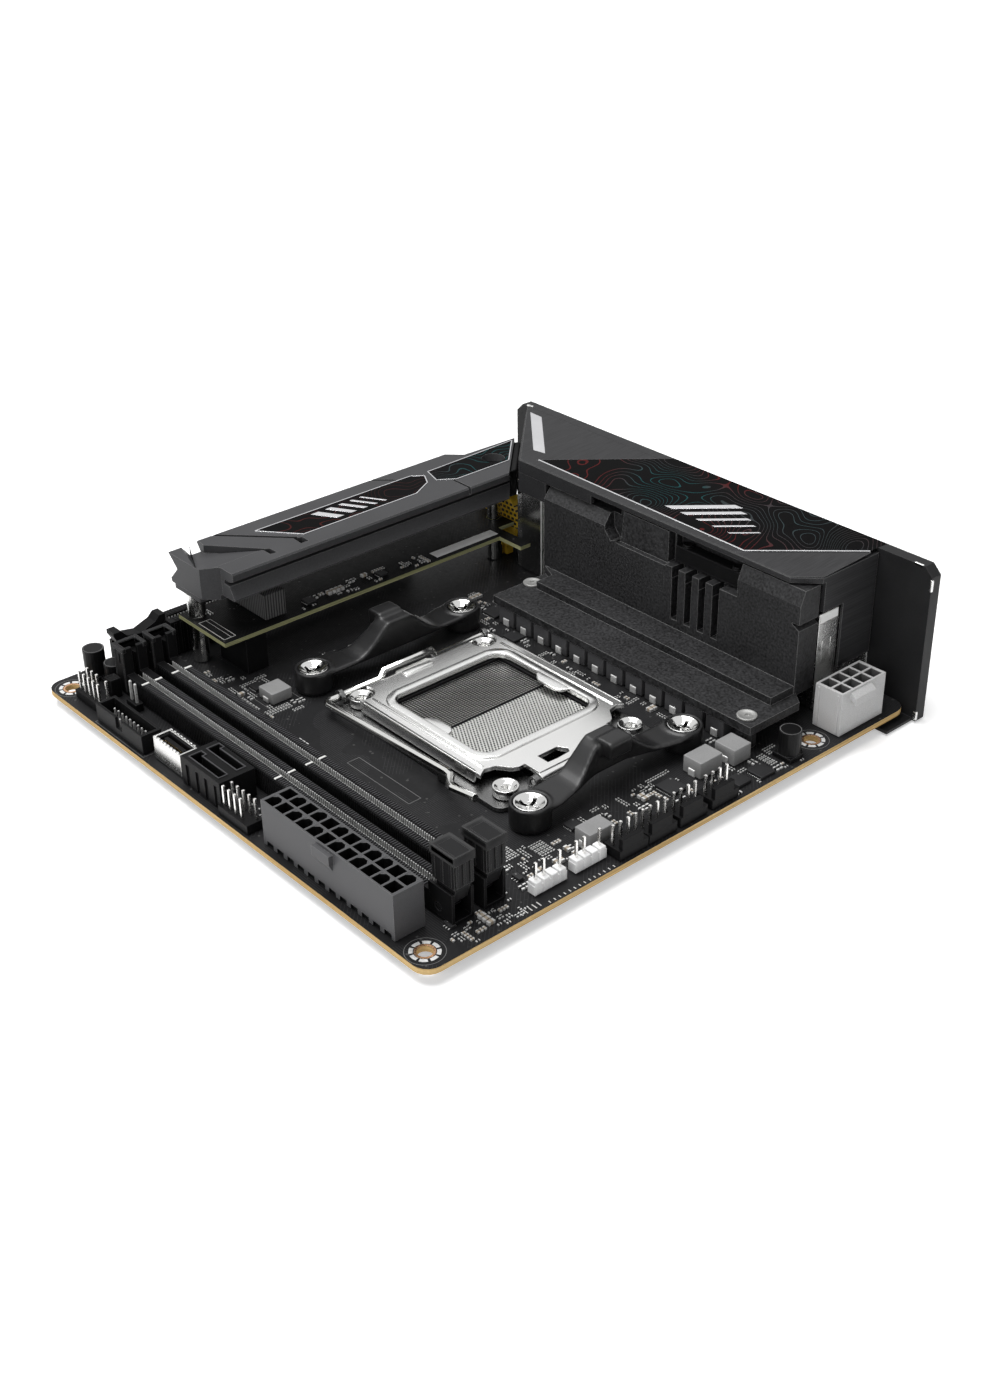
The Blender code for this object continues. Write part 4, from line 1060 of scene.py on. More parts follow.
def driven_screws(name, finish, places, seat, radius, height, dish, drive, tip, nodes):
    """Screw heads dished to a (rim, slope, depth), with a drive recess, each on its shank."""
    rim, slope, depth = dish
    top = seat + height
    head = drum("head", finish, (0, 0, seat), radius, height, 40)
    inset(head, facing(w=1), rim)
    middle_face = lambda middle, normal: normal.z > 0.9 and middle.xy.length < 0.1
    inset(head, middle_face, slope, -depth)
    soften(head, 0.12, 2)
    carve(head, plate("drive", finish, drive, top - depth - 0.8, top + 1))
    neck = drum("neck", finish, (0, 0, tip), 1.4, seat - tip + 0.1, 16)
    inset(neck, facing(w=-1), 0.4, 0.3)
    screw = joined("screw", [smooth(head), smooth(neck)])
    fit(copies(name, screw, [(u, v, 0, turn) for u, v, turn in places]), stands_for=nodes)


def socket_fasteners():
    """The screws of the socket, the cooler brackets and the power stage heatsink."""
    places = [(u, v, 12) for u in (70.5, 130.2) for v in (58.6, 102.7)]
    nodes = [f"socket_screw_{i}" for i in range(1, 5)]
    dish, drive = (0.5, 0.9, 0.8), star_outline(1.6, 1.1)
    driven_screws("socket_screw_set", SCREW_ZINC, places, 1.8, 3.45, 2.4, dish, drive, -3.4, nodes)
    places = [(u, v, 20) for u in (52.8, 142.8) for v in (55.5, 109.5)]
    nodes = [f"bracket_screw_{i}" for i in range(1, 5)]
    dish, drive = (0.45, 1.7, 1.5), cross_outline(2.9, 0.5)
    driven_screws("bracket_screw_set", SCREW_ZINC, places, 4.7, 4.2, 2.3, dish, drive, -3.6, nodes)
    places = [(58.7, 132.3, 0), (153.4, 122.4, 0)]
    nodes = ["heatsink_screw_1", "heatsink_screw_2"]
    dish, drive = (0.5, 0.25, 0.14), star_outline(0.8, 0.55)
    driven_screws("heatsink_screw_set", DULL_ZINC, places, 8.62, 2.75, 0.6, dish, drive, 0.6, nodes)


# Memory and card slots

DIMM_MIDDLES = (18.2, 27.8)
MEMORY_STEP = (0.85, 0, 0)
CARD_MIDDLE = 7.0


def memory_slot_detail():
    """Memory slots with hollow towers, fine ribs, contacts and key marks."""
    ribs, contacts, marks = [], [], []
    for i, v in enumerate(DIMM_MIDDLES, 1):
        body = from_solid(f"memory_slot_{i}", BLACK_MOULDED, f"dimm_slot_{i}")
        carve(body, block("well", BLACK_MOULDED, (16.7, v - 2.7, 11.8), (19.9, v + 2.7, 16.0)))
        carve(body, block("slit", BLACK_MOULDED, (18.2, v - 5.0, 9.4), (19.0, v - 3.2, 12.6)))
        parts = [body]
        collar = block("collar", TOWER_MOULDED, (15.5, v - 3.9, 13.4), (21.2, v + 3.9, 14.9))
        carve(collar, block("well", TOWER_MOULDED, (16.7, v - 2.7, 12.0), (22.0, v + 2.7, 16.0)))
        parts.append(soften(collar, 0.25, 2))
        for side in SIDES:
            ends = beside(v, side, 3.6, 3.88)
            rib = block("rib", TOWER_MOULDED, (16.0, ends[0], 1.0), (16.5, ends[1], 13.4))
            parts.append(row(soften(rib, 0.08), 2, (4.1, 0, 0)))
        for side in SIDES:
            ends = beside(v, side, 3.15, 3.42)
            rib = block("rib", BLACK_MOULDED, (22.4, ends[0], 0.6), (22.8, ends[1], 6.1))
            ribs.append(row(rib, 152, MEMORY_STEP))
            ends = beside(v, side, 1.35, 3.0)
            rib = block("rib", RIB_MOULDED, (29.3, ends[0], 6.4), (29.58, ends[1], 6.72))
            ribs.append(row(rib, 144, MEMORY_STEP))
            ends = beside(v, side, 0.5, 0.95)
            leaf = block("leaf", SOLDER, (22.6, ends[0], 4.6), (22.98, ends[1], 6.45))
            slide(leaf, facing(w=1), (0, side * 0.2, 0))
            contacts.append(row(leaf, 152, MEMORY_STEP))
            ends = beside(v, side, 0.95, 3.2)
            for u in (28.3, 91.5):
                mark = block("mark", INK, (u, ends[0], 6.45), (u + 0.75, ends[1], 6.76))
                marks.append(soften(mark, 0.08))
        fit(joined(f"memory_slot_{i}", parts), stands_for=[f"dimm_slot_{i}"])
    fit(joined("memory_slot_ribs", ribs))
    fit(joined("memory_slot_contacts", contacts))
    fit(joined("memory_key_marks", marks))


def memory_latch_detail():
    """Overhanging caps and finger grooves on the swinging latches."""
    for i, v in enumerate(DIMM_MIDDLES, 1):
        cap = block("cap", TOWER_MOULDED, (153.6, v - 3.2, 17.2), (162.6, v + 3.2, 19.8))
        inset(cap, facing(w=1), 0.8, -0.35)
        inset(cap, facing(v=-1), 0.7, -0.3)
        parts = [soften(cap, 0.25, 2)]
        for side in SIDES:
            ends = beside(v, side, 2.8, 3.05)
            rib = block("rib", TOWER_MOULDED, (154.6, ends[0], 10.8), (155.5, ends[1], 17.3))
            parts.append(row(soften(rib, 0.08), 3, (2.9, 0, 0)))
        rib = block("rib", TOWER_MOULDED, (162.0, v - 2.5, 11.0), (162.45, v - 1.7, 17.3))
        parts.append(row(soften(rib, 0.1), 3, (0, 2.1, 0)))
        grip = smooth(joined(f"memory_latch_grip_{i}", parts))
        fit(grip, f"memory_latch_{i}")


def card_slot_detail():
    """Contacts in the card slot and short ribs along its sides."""
    parts = []
    for side in SIDES:
        ends = beside(CARD_MIDDLE, side, 0.6, 1.0)
        leaf = block("leaf", SOLDER, (ends[0], 38.0, 7.6), (ends[1], 38.45, 10.6))
        slide(leaf, facing(w=1), (side * 0.2, 0, 0))
        parts.append(row(leaf, 84, (0, 1.0, 0)))
        ends = beside(CARD_MIDDLE, side, 3.65, 3.9)
        rib = block("rib", BLACK_MOULDED, (ends[0], 37.0, 1.0), (ends[1], 37.9, 10.6))
        parts.append(row(soften(rib, 0.08), 43, (0, 2.0, 0)))
        ends = beside(CARD_MIDDLE, side, 1.3, 3.2)
        rib = block("rib", BLACK_MOULDED, (ends[0], 38.0, 11.1), (ends[1], 38.5, 11.4))
        parts.append(row(rib, 84, (0, 1.0, 0)))
    fit(joined("card_slot_detail", parts))


# Front and side connectors


def pin_grid(name, finish, first, counts, pitch, half, low, high):
    """Square pins in a grid from a first (u, v) place, pointed at the top."""
    u, v = first
    pin = block(name, finish, (u - half, v - half, low), (u + half, v + half, high))
    inset(pin, facing(w=1), half * 0.45, half * 0.8)
    row(pin, counts[0], (pitch, 0, 0))
    return row(pin, counts[1], (0, pitch, 0))


def power_headers():
    """The two power headers with keyed wells, blade pins and the gaps under the front wall."""
    main = from_solid("main_power_housing", POWER_GREY, "atx_power_connector")
    gap = block("gap", POWER_GREY, (106.6, 1.5, 0), (109.4, 2.6, 1.7))
    row(gap, 12, (POWER_PITCH, 0, 0))
    carve(main, gap)
    fit(main, stands_for=["atx_power_connector"])
    keys = []
    for i in range(12):
        for j in range(2):
            if (i + j) % 2 == 0 or i % 5 == 3:
                u, v = 108.0 + POWER_PITCH * i, 4.3 + POWER_PITCH * j
                for side in SIDES:
                    inner, outer = u + side * 0.7, u + side * 1.85
                    corner = [(outer, v + 1.85), (outer, v + 0.7), (inner, v + 1.85)]
                    keys.append(plate("key", POWER_GREY, corner, 4.3, 13.0))
    fit(joined("well_keys", keys))
    ramp = block("latch_ramp", POWER_GREY, (128.2, 0.9, 7.4), (134.0, 2.2, 9.6))
    slide(ramp, facing(w=-1), (0, 1.0, 0))
    fit(soften(ramp, 0.15, 2))
    pins = [pin_grid("pin", SOLDER, (108.0, 4.3), (12, 2), POWER_PITCH, 0.55, 4.0, 9.0)]
    pins.append(pin_grid("pin", SOLDER, (161.4, 145.7), (2, 4), POWER_PITCH, 0.55, 4.0, 9.0))
    fit(joined("power_pins", pins))
    cpu = from_solid("cpu_power_housing", EPS_GREY, "cpu_power_connector")
    carve(cpu, block("cutter", EPS_GREY, (168.03, 147.0, 8.5), (171.0, 157.0, 13.6)))
    beak = block("beak", EPS_GREY, (167.8, 146.5, 10.6), (169.9, 154.9, 12.75))
    slide(beak, facing(u=1), (0, 0, -1.5))
    cpu = joined("cpu_power_housing", [cpu, soften(beak, 0.15, 2)])
    fit(cpu, stands_for=["cpu_power_connector"])
    half, foot, top = 0.35, 1.0, 12.4
    ribs = []
    for v in (143.6, 147.8, 152.0, 156.2, 160.4):
        ribs.append(block("rib", EPS_GREY, (158.7, v - half, foot), (159.2, v + half, top)))
    for u in (160.2, 166.8):
        ribs.append(block("rib", EPS_GREY, (u - half, 142.75, foot), (u + half, 143.2, top)))
    fit(joined("cpu_power_ribs", [soften(rib, 0.1) for rib in ribs]))


def data_headers():
    """Pins, liners and tongues in the front data connectors."""
    pins = pin_grid("box_header_pins", SOLDER, (30.0, 3.25), (10, 2), 2.0, 0.25, 1.2, 3.8)
    fit(pins)
    teeth = []
    for v in (3.1, 8.1):
        tooth = block("tooth", TIN, (54.6, v - 0.25, 6.8), (55.5, v + 0.25, 7.5))
        teeth.append(row(soften(tooth, 0.08), 8, (1.55, 0, 0)))
    fit(joined("front_usb_rim", teeth))
    liner = block("liner", BLACK_MOULDED, (54.65, 3.55, 1.45), (66.35, 7.65, 6.7))
    inset(liner, facing(w=1), 0.2)
    mouth = lambda middle, normal: (middle - Vector((60.5, 5.6, 6.7))).length < 0.2
    slide(liner, mouth, (0, 0, -4.6))
    tongue = soften(block("tongue", BLACK_MOULDED, (55.9, 5.0, 1.9), (65.1, 6.2, 6.4)), 0.15)
    fit(joined("front_usb_liner", [liner, tongue]))
    blades = []
    for v in (4.88, 6.18):
        blade = block("blade", GOLD, (56.6, v, 2.4), (56.85, v + 0.14, 6.1))
        blades.append(row(blade, 16, (0.52, 0, 0)))
    for v in (5.5, 10.9):
        blade = block("blade", SOLDER, (74.0, v, 2.4), (74.7, v + 0.25, 5.4))
        blades.append(row(blade, 7, (1.45, 0, 0)))
    fit(joined("front_connector_blades", blades))
    humps = []
    for v in (36.6, 49.6):
        hump = block("hump", WHITE_MOULDED, (162.75, v + 0.15, 0.35), (165.65, v + 2.25, 3.9))
        humps.append(row(soften(hump, 0.25, 2), 4, (0, PIN_PITCH, 0)))
    fit(joined("light_header_humps", humps))


def storage_ports():
    """The pair of storage connectors with grooved walls and lipped slots."""
    shell = from_solid("storage_port_shell", BLACK_MOULDED, "sata_port_pair")
    for u, width in ((71.0, 1.6), (75.6, 1.5), (79.6, 1.5), (84.0, 1.3)):
        carve(shell, block("groove", BLACK_MOULDED, (u, 1.5, 0.0), (u + width, 2.6, 6.8)))
    fit(shell, stands_for=["sata_port_pair"])
    lips = []
    for v in (3.1, 8.5):
        outline = [(70.9, v), (84.9, v), (84.9, v + 2.9), (73.5, v + 2.9), (73.5, v + 4.1), (70.9, v + 4.1)]
        inner = [(71.2, v + 0.3), (84.6, v + 0.3), (84.6, v + 2.6), (73.2, v + 2.6)]
        inner += [(73.2, v + 3.8), (71.2, v + 3.8)]
        lip = plate("lip", RIB_MOULDED, outline, 8.4, 8.75)
        lips.append(carve(lip, plate("cutter", RIB_MOULDED, inner, 8.0, 9.0)))
    fit(joined("storage_port_lips", lips))


def corner_header():
    """A two-pin header and a small switch block in the front left corner."""
    base = soften(block("base", BLACK_MOULDED, (25.6, 11.2, 0.02), (30.7, 13.7, 2.5)), 0.2, 2)
    pins = pin_grid("pin", SOLDER, (26.9, 12.45), (2, 1), PIN_PITCH, 0.32, 2.4, 8.2)
    cube = block("cube", BLACK_MOULDED, (16.4, 10.2, 0.02), (19.8, 13.4, 6.0))
    inset(cube, facing(w=1), 0.7, -0.4)
    fit(joined("corner_header", [base, pins, soften(cube, 0.2, 2)]))


# Riser and its heatsink


def m2_heatsink():
    """The finned cap of the drive stack: a sloped front facet, slanted grooves and a printed inlay."""
    sink = from_solid("drive_heatsink", ANODISED, "m2_heatsink")
    rise = lambda u: 30.6 + (u - 10.5) * 0.175
    above, ledge = 37.0, 33.1
    groove_foot, groove_top = 31.6, 36.0
    sheet_low, sheet_high = 33.9, 34.12
    front = [(9.0, 45.5), (24.9, 37.9), (25.3, 37.0), (29.3, 37.0), (28.9, 57.0), (15.8, 46.7), (9.0, 47.7)]
    carve(sink, wedge("facet", ANODISED, [(u, v, rise(u)) for u, v in front], above))
    ramp = [(9.0, 42.8, ledge), (24.9, 37.9, ledge), (9.0, 45.5, rise(9.0))]
    carve(sink, wedge("ramp", ANODISED, ramp, above))
    horn = [(9.0, 36.0), (25.4, 36.0), (24.9, 37.9), (9.0, 42.8)]
    carve(sink, wedge("horn", ANODISED, [(u, v, ledge) for u, v in horn], above))
    carve(sink, block("undercut", ANODISED, (31.9, 37.0, 29.6), (34.8, 171.0, 30.9)))
    carve(sink, block("lip_trim", ANODISED, (30.0, 37.0, 21.0), (37.0, 171.0, 25.5)))
    for start, end, width in (
        ((10.0, 51.0), (29.2, 69.2), 1.15),
        ((15.4, 46.3), (29.2, 57.9), 1.0),
        ((9.6, 107.2), (19.4, 117.4), 0.9),
        ((28.6, 127.6), (36.8, 127.6), 0.8),
    ):
        carve(sink, bar("groove", ANODISED, start, end, width, groove_foot, groove_top))
    for pocket in (
        [(28.6, 68.1), (33.0, 67.8), (33.0, 70.5), (29.9, 70.5)],
        [(28.7, 57.4), (32.8, 57.5), (33.2, 59.5), (29.7, 59.4)],
    ):
        carve(sink, plate("pocket", ANODISED, pocket, groove_foot, groove_top))
    fit(sink, stands_for=["m2_heatsink"])
    outline = [(17.0, 162.3), (33.8, 145.5), (33.8, 148.4), (18.4, 163.8)]
    stop = plate("end_stop", BLACK_MOULDED, outline, 24.4, 33.0)
    fit(soften(stop, 0.4, 2))
    inlay = [(17.6, 62.6), (28.8, 71.8), (28.8, 113.0), (24.8, 120.4), (20.4, 122.9), (17.6, 119.6)]
    far_end = [(18.6, 125.6), (25.2, 123.6), (28.8, 128.6), (28.8, 149.6), (17.6, 160.8)]
    sheet = plate("inlay_sheet", INLAY, inlay, sheet_low, sheet_high)
    far_sheet = plate("far_sheet", PANEL, far_end, sheet_low, sheet_high)
    carve(far_sheet, drum("cutter", PANEL, (24.0, 147.3, 33.0), 3.7, 2.0, 32))
    fit(joined("heatsink_inlay", [sheet, far_sheet]))
    lines = []
    for outline in (inlay, far_end):
        for start, end in zip(outline, outline[1:] + outline[:1]):
            lines.append(bar("line", TRIM, start, end, 0.35, 34.0, 34.2))
    for v, width in ((81.0, 2.6), (86.2, 2.0), (90.8, 1.5), (94.9, 1.1), (98.6, 0.8)):
        outline = [(19.6, v), (26.6, v + 4.2), (26.6, v + 4.2 + width), (19.6, v + width)]
        lines.append(plate("stripe", TRIM, outline, 34.0, 34.25))
    fit(joined("heatsink_trim", lines))


def riser_dressing():
    """Plain paper label and printed frame on the riser board."""
    outline = [(30.6, 115.6), (34.4, 115.6), (34.4, 140.0), (30.6, 140.0)]
    label = plate("riser_label", LABEL, outline, RISER_TOP - 0.02, RISER_TOP + 0.06)
    inset(label, facing(w=1), 0.3, 0.01)
    fit(label)
    lines = ink_frame((21.0, 39.2), (34.0, 43.0), 0.16)
    lines.append(bar("line", INK, (21.0, 41.6), (34.0, 41.6), 0.12, 0, INK_THICK))
    frame_print = copies("riser_print", joined("riser_print", lines), [(0, 0, RISER_TOP, 0)])
    fit(frame_print)


def cell_holder():
    """Tinned straps that carry the coin cell."""
    straps = []
    for v in (150.0, 154.1):
        strap = block("strap", TIN, (20.4, v, 0.02), (23.6, v + 0.3, 8.0))
        inset(strap, facing(w=1), 0.08, 0.2)
        straps.append(strap)
    fit(joined("cell_straps", straps))


# Power stage heatsink and capacitors


def power_heatsink():
    """The power stage heatsink: open slots, a screwed bar in the recess and a notched right end."""
    sink = from_solid("power_heatsink", SAND_BLACK, "vrm_heatsink")
    slot = block("slot", SAND_BLACK, (108.2, 139.4, 26.2), (110.8, 145.0, 30.5))
    carve(sink, row(slot, 4, (5.1, 0, 0)))
    notch = [(151.8, 139.0, 29.0), (156.0, 139.0, 26.6), (156.0, 148.0, 26.6), (151.8, 148.0, 29.0)]
    carve(sink, wedge("notch", SAND_BLACK, notch, 29.4))
    carve(sink, block("recess", SAND_BLACK, (105.4, 142.0, 29.9), (132.0, 147.0, 40.0)))
    fit(sink, stands_for=["vrm_heatsink"])
    clamp = block("clamp", BLACK_MOULDED, (106.6, 142.9, 30.0), (131.0, 146.9, 34.9))
    inset(clamp, facing(v=-1), 0.5, -0.2)
    parts = [soften(clamp, 0.25, 2)]
    for u in (109.6, 128.2):
        head = drum("head", CAN_SLEEVE, (u, 144.8, 34.8), 1.5, 1.0, 20)
        inset(head, facing(w=1), 0.5, -0.3)
        parts.append(smooth(soften(head, 0.15)))
    fit(joined("heatsink_clamp", parts))


def can_rim_highlights():
    """A painted highlight: a thin grey ring round the top edge of each capacitor can."""
    rings = []
    for u, v, radius, top in ((5.4, 13.5, 3.1, 9.4), (12.2, 15.8, 2.9, 6.8), (165.0, 126.5, 3.05, 8.3)):
        # Painted highlight on the can's top edge.
        rim_highlight = ring(FAINT_INK_AND_CAN_HIGHLIGHT, radius - 0.42, radius - 0.24, top - 0.02, top + 0.03, 20)
        rings.append(copies("rim_highlight", rim_highlight, [(u, v, 0, 0)]))
    fit(joined("can_rim_highlights", rings))


# Covers and rear ports


def cover_panel():
    """Brushed and printed sheets over the cover and shield, with polished lines and a grey bar."""

    def sloped(name, finish, outline, lift, thick=0.3):
        """A sheet laid on the slope of the cover's top."""
        rise = lambda v: 41.12 + (v - 141.4) * 0.037 + lift
        sheet = plate(name, finish, outline, 40.0, 42.0)
        for i, corner in enumerate(sheet.data.vertices):
            u, v, _ = board_mm(corner.co)
            corner.co = at(u, v, rise(v) - (thick if i < len(outline) else 0))
        return sheet

    brushed = [(43.0, 141.7), (14.9, 170.0), (12.6, 173.8), (76.0, 173.8), (47.0, 144.9)]
    brushed += [(130.5, 143.7), (128.8, 141.7)]
    corner = [(128.8, 141.7), (148.6, 141.7), (154.9, 147.6), (154.9, 167.0)]
    printed = [(47.4, 145.2), (130.3, 144.2), (154.4, 167.2), (154.8, 173.8), (76.2, 173.8)]
    for name, finish, outline, lift in (
        ("cover_brushed", COVER, brushed, 0.0),
        ("cover_corner", COVER, corner, -0.05),
        ("cover_panel", PANEL, printed, 0.03),
    ):
        fit(soften(sloped(name, finish, outline, lift), 0.06))
    lines = []
    for start, end in zip(printed, printed[1:3]):
        edge = (Vector(end) - Vector(start)).orthogonal().normalized() * 0.25
        strip = [Vector(start) - edge, Vector(end) - edge, Vector(end) + edge, Vector(start) + edge]
        lines.append(sloped("line", TRIM, strip, 0.1))
    for i, width in enumerate((3.0, 2.3, 1.7, 1.2, 0.8)):
        u = 96.0 + 6.0 * i
        reach = 14.0 - 2.0 * i
        near, far = (u, 149.0), (u + reach, 149.0 + reach)
        stripe = [near, (near[0] + width, near[1]), (far[0] + width, far[1]), far]
        lines.append(sloped("stripe", TRIM, stripe, 0.08))
    fit(joined("cover_trim", lines))
    label = [(18.9, 167.6), (41.0, 148.9), (45.4, 149.7), (24.4, 167.4)]
    fit(soften(sloped("cover_bar", COVER_LABEL, label, 0.06), 0.02))
    lip = [(35.6, 148.5), (42.6, 141.4), (54.6, 141.4), (54.6, 142.8), (43.2, 142.8), (37.5, 148.5)]
    fit(soften(plate("cover_lip", COVER, lip, 30.6, 37.2), 0.15))


def port_tongues():
    """Tongues, contacts and rings in the rear ports."""
    tongue = block("tongue", TONGUE_BLUE, (2.2, 164.4, 2.2), (12.2, 172.4, 4.0))
    soften(tongue, 0.2, 2)
    places = [(u, 0, w, 0) for u in (34.0, 139.8, 92.0) for w in (1.6, 8.4)]
    places += [(u, 0, w, 0) for u in (139.8, 92.0) for w in (15.4, 22.2)]
    fit(copies("usb_tongues", tongue, places))
    blade = block("blade", GOLD, (3.1, 165.0, 2.05), (4.1, 172.0, 2.25))
    row(blade, 4, (2.4, 0, 0))
    fit(copies("usb_blades", blade, places))
    liner = block("lan_liner", BLACK_MOULDED, (36.0, 160.2, 16.5), (48.0, 171.8, 27.5))
    inset(liner, facing(v=1), 0.7, -10.6)
    fit(liner)
    wire = block("lan_wires", GOLD, (38.2, 161.0, 25.4), (38.6, 171.0, 25.8))
    slide(wire, facing(v=1), (0, 0, 1.4))
    row(wire, 8, (1.02, 0, 0))
    fit(wire)
    barrels = []
    for u in (66.6, 75.4):
        barrel = drum("barrel", GOLD, (u, 166.2, 8.0), 3.0, 7.6, 32, "v")
        inset(barrel, facing(v=1), 0.3, 0.2)
        barrels.append(carve(barrel, drum("bore", GOLD, (u, 168.0, 8.0), 2.2, 8.0, 32, "v")))
        barrels.append(drum("pin", GOLD, (u, 166.2, 8.0), 0.5, 6.4, 12, "v", 0.35))
    fit(smooth(joined("antenna_barrels", barrels)))
    jacks = []
    for u in (19.0, 27.0):
        collar = drum("collar", TOWER_MOULDED, (u, 163.4, 7.4), 2.55, 10.2, 32, "v")
        jacks.append(carve(collar, drum("bore", TOWER_MOULDED, (u, 165.0, 7.4), 1.8, 10.0, 32, "v")))
    fit(smooth(soften(joined("audio_rings", jacks), 0.15)))
    screen = block("screen_tongue", TOWER_MOULDED, (121.0, 164.6, 3.6), (131.0, 172.0, 4.6))
    fit(soften(screen, 0.15))


def port_shells():
    """The dark polished end sheet, its folded right and top edges lined with bright strips that paint their
    highlight, and springs, corner tabs and a paper tag on the port stacks.
    """
    sheet = block("end_sheet", SHEET, (36.2, 148.1, 0.3), (45.6, 148.45, 30.9))
    fit(soften(sheet, 0.1))
    # Painted highlight: bright strips along the sheet's folded right and top edges.
    edges = [block("edge", SOLDER, (45.1, 147.95, 0.3), (45.7, 148.2, 31.0))]
    edges.append(block("edge", SOLDER, (36.2, 147.95, 30.6), (45.7, 148.2, 31.0)))
    fit(joined("sheet_edge_highlights", [soften(edge, 0.06) for edge in edges]))
    dimples = []
    for v in (150.2, 153.6):
        leaf = block("leaf", TIN, (154.1, v, 14.0), (154.35, v + 1.8, 21.0))
        dimples.append(soften(leaf, 0.08))
    fit(joined("shell_springs", dimples))
    tabs = []
    for low, high in (
        ((166.4, 170.3, 41.4), (169.4, 171.0, 42.3)),
        ((172.1, 170.2, 35.5), (172.8, 171.0, 39.0)),
        ((171.6, 170.2, -3.8), (172.8, 171.0, -1.2)),
        ((14.2, 170.3, 42.0), (16.8, 171.0, 42.7)),
    ):
        tabs.append(soften(block("tab", TIN, low, high), 0.15))
    fit(joined("shield_tabs", tabs))
    tag = block("shell_tag", LABEL, (154.18, 148.9, 26.7), (154.26, 156.0, 29.3))
    inset(tag, facing(u=1), 0.2, 0.01)
    fit(tag)


TAKEN = standing_on_board(BOARD_TOP)
RISER_TAKEN = standing_on_board(RISER_TOP) + [(30.2, 34.8, 115.2, 140.4)]

mounting_pads()
board_print()
soldered_joints()
power_chokes(TAKEN)
board_chips("board_chips", BOARD_CHIPS, BOARD_TOP, TAKEN)
board_chips("riser_chips", RISER_CHIPS, RISER_TOP, RISER_TAKEN)
TAKEN += [(u - 5.0, u + 5.0, v - 5.0, v + 5.0) for u, v in HOLES]
TAKEN += [(u - 3.4, u + 3.4, 119.0, 127.0) for u in INDUCTOR_LINE]
small_parts("board_parts", BOARD_ZONES, BOARD_GRIDS, BOARD_TOP, TAKEN, seed=7)
small_parts("riser_parts", RISER_ZONES, (), RISER_TOP, RISER_TAKEN, seed=11)
contact_field()
load_plate()
lever_wire()
cooler_brackets()
socket_fasteners()
memory_slot_detail()
memory_latch_detail()
card_slot_detail()
power_headers()
data_headers()
storage_ports()
corner_header()
m2_heatsink()
riser_dressing()
cell_holder()
power_heatsink()
can_rim_highlights()
cover_panel()
port_tongues()
port_shells()


# Stage, light and camera


MATTE_LIGHT = 0.22
FLOOR_SIZE = 8
FLOOR_LEVEL = -0.0006


def studio_floor():
    """A pale matte floor that glows to the camera and in reflections, and keeps the shadow."""
    bpy.ops.object.select_all(action="DESELECT")
    bpy.ops.mesh.primitive_plane_add(size=FLOOR_SIZE, location=(0, 0, FLOOR_LEVEL))
    floor = bpy.context.active_object
    floor.name = "studio_floor"
    finish = Finish("floor_paper")
    seen = finish.node("LightPath", {}, {}, "Is Camera Ray")
    for ray in ("Is Glossy Ray", "Is Transmission Ray"):
        seen = seen + finish.node("LightPath", {}, {}, ray)
    reach = finish.node("VectorMath", {"operation": "LENGTH"}, {0: finish.spot}, "Value")
    pale = finish.spread(reach, 0.25, 0.9, 0.4, 1.0)
    glow = finish.mix(seen * pale, (0.0, 0.0, 0.0), (1.0, 1.0, 1.0))
    paper = finish.set(
        {
            "Base Color": (0.86, 0.86, 0.86, 1),
            "Roughness": 0.9,
            "Specular IOR Level": 0.0,
            "Emission Color": glow,
            "Emission Strength": 1.0,
        }
    )
    floor.data.materials.append(paper)


def softbox(name, place, aim, width, height, watts):
    """A rectangular lamp turned towards a point."""
    data = bpy.data.lights.new(name, "AREA")
    data.shape = "RECTANGLE"
    data.size = width
    data.size_y = height
    data.energy = watts
    lamp = bpy.data.objects.new(name, data)
    lamp.location = place
    lamp.rotation_euler = (Vector(aim) - Vector(place)).to_track_quat("-Z", "Y").to_euler()
    bpy.context.scene.collection.objects.link(lamp)


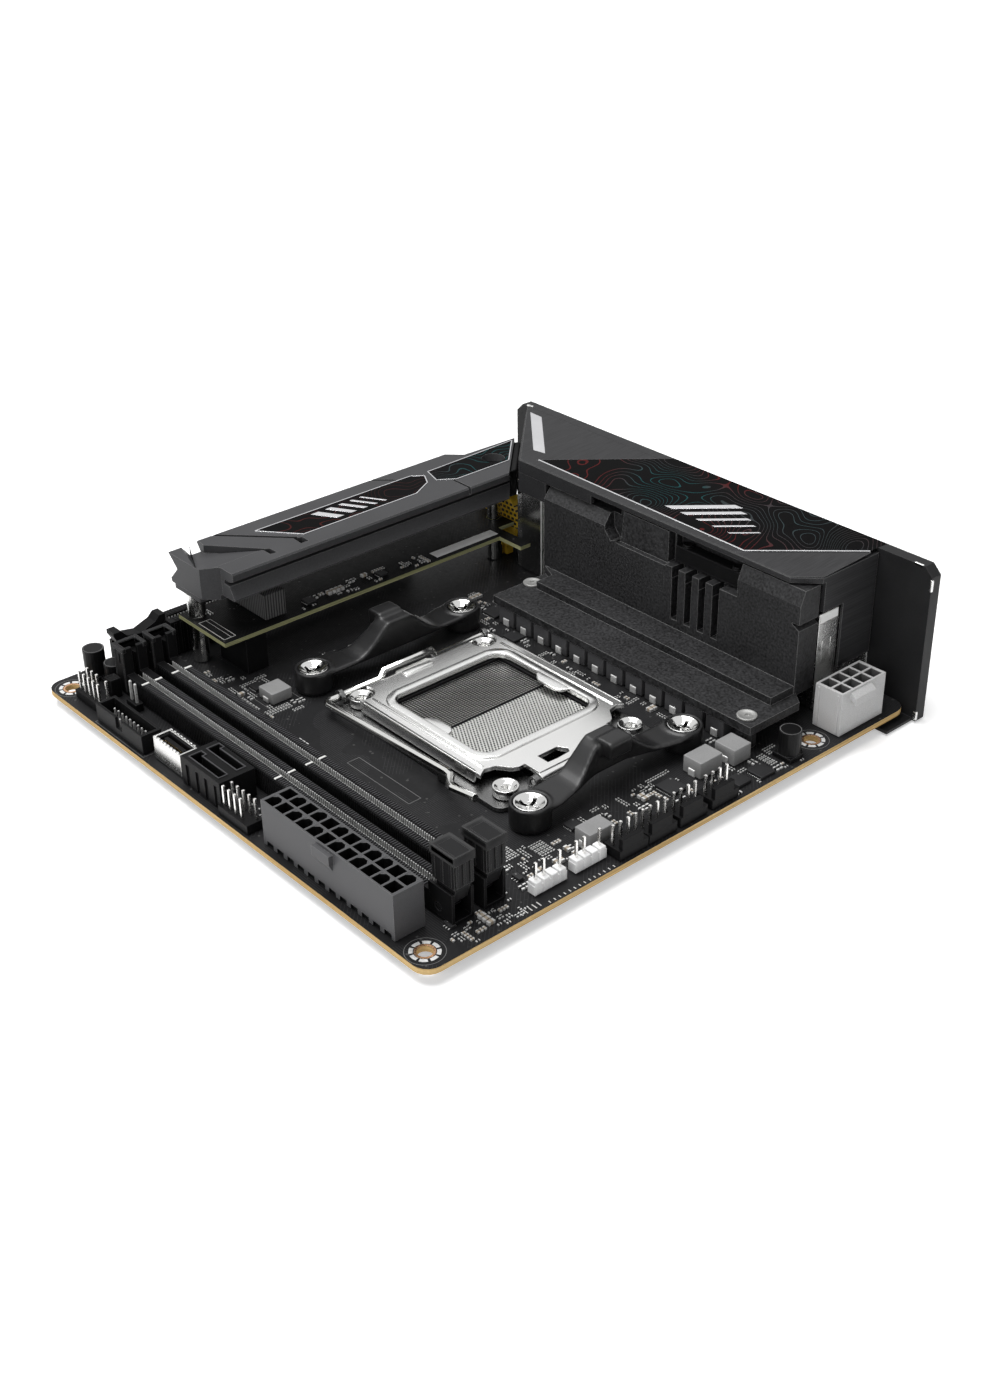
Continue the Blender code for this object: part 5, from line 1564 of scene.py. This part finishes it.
def studio_light():
    """White to the camera, a sweep with a dark horizon in reflections, soft grey on matte surfaces."""
    world = bpy.data.worlds.new("studio")
    bpy.context.scene.world = world
    world.use_nodes = True
    tree = world.node_tree
    path = tree.nodes.new("ShaderNodeLightPath")
    way = tree.nodes.new("ShaderNodeTexCoord")
    split = tree.nodes.new("ShaderNodeSeparateXYZ")
    sweep = tree.nodes.new("ShaderNodeMapRange")
    for socket, value in zip(sweep.inputs[1:5], (0.05, 0.42, 0.1, 0.92)):
        socket.default_value = value
    mirrored = tree.nodes.new("ShaderNodeMix")
    seen = tree.nodes.new("ShaderNodeMix")
    mirrored.inputs["A"].default_value = MATTE_LIGHT
    seen.inputs["B"].default_value = 1.0
    sky = tree.nodes["Background"]
    sky.inputs["Color"].default_value = (1, 1, 1, 1)
    for source, target in (
        (way.outputs["Generated"], split.inputs[0]),
        (split.outputs["Z"], sweep.inputs["Value"]),
        (path.outputs["Is Glossy Ray"], mirrored.inputs["Factor"]),
        (sweep.outputs[0], mirrored.inputs["B"]),
        (path.outputs["Is Camera Ray"], seen.inputs["Factor"]),
        (mirrored.outputs[0], seen.inputs["A"]),
        (seen.outputs[0], sky.inputs["Strength"]),
    ):
        tree.links.new(source, target)
    softbox("top_softbox", (-0.2, -0.12, 0.9), (0, 0, 0), 0.7, 0.7, 10.5)
    softbox("front_softbox", (0.25, -0.95, 0.38), (0, 0, 0.02), 0.8, 0.5, 3.4)
    softbox("side_softbox", (0.95, 0.1, 0.4), (0, 0, 0.02), 0.6, 0.4, 0.9)


CAMERA_PLACE = (0.32477, -0.27194, 0.25528)
CAMERA_AZIMUTH = 49.4392
CAMERA_ELEVATION = 30.4572
CAMERA_ROLL = -0.97085
CAMERA_LENS = 46.35


def photo_camera():
    """The camera fitted to the photograph, from its place and angles."""
    azimuth, elevation, roll = (
        math.radians(angle) for angle in (CAMERA_AZIMUTH, CAMERA_ELEVATION, CAMERA_ROLL)
    )
    back = Vector(
        (
            math.sin(azimuth) * math.cos(elevation),
            -math.cos(azimuth) * math.cos(elevation),
            math.sin(elevation),
        )
    )
    level = Vector((math.cos(azimuth), math.sin(azimuth), 0))
    upright = back.cross(level)
    right = level * math.cos(roll) + upright * math.sin(roll)
    top = upright * math.cos(roll) - level * math.sin(roll)
    data = bpy.data.cameras.new("photo_camera")
    data.lens = CAMERA_LENS
    data.sensor_width = 36
    data.clip_start = 0.01
    camera = bpy.data.objects.new("photo_camera", data)
    turned = Matrix((right, top, back)).transposed().to_4x4()
    camera.matrix_world = Matrix.Translation(CAMERA_PLACE) @ turned
    bpy.context.scene.collection.objects.link(camera)
    bpy.context.scene.camera = camera


studio_floor()
studio_light()
photo_camera()
bpy.context.scene.view_settings.view_transform = "Standard"
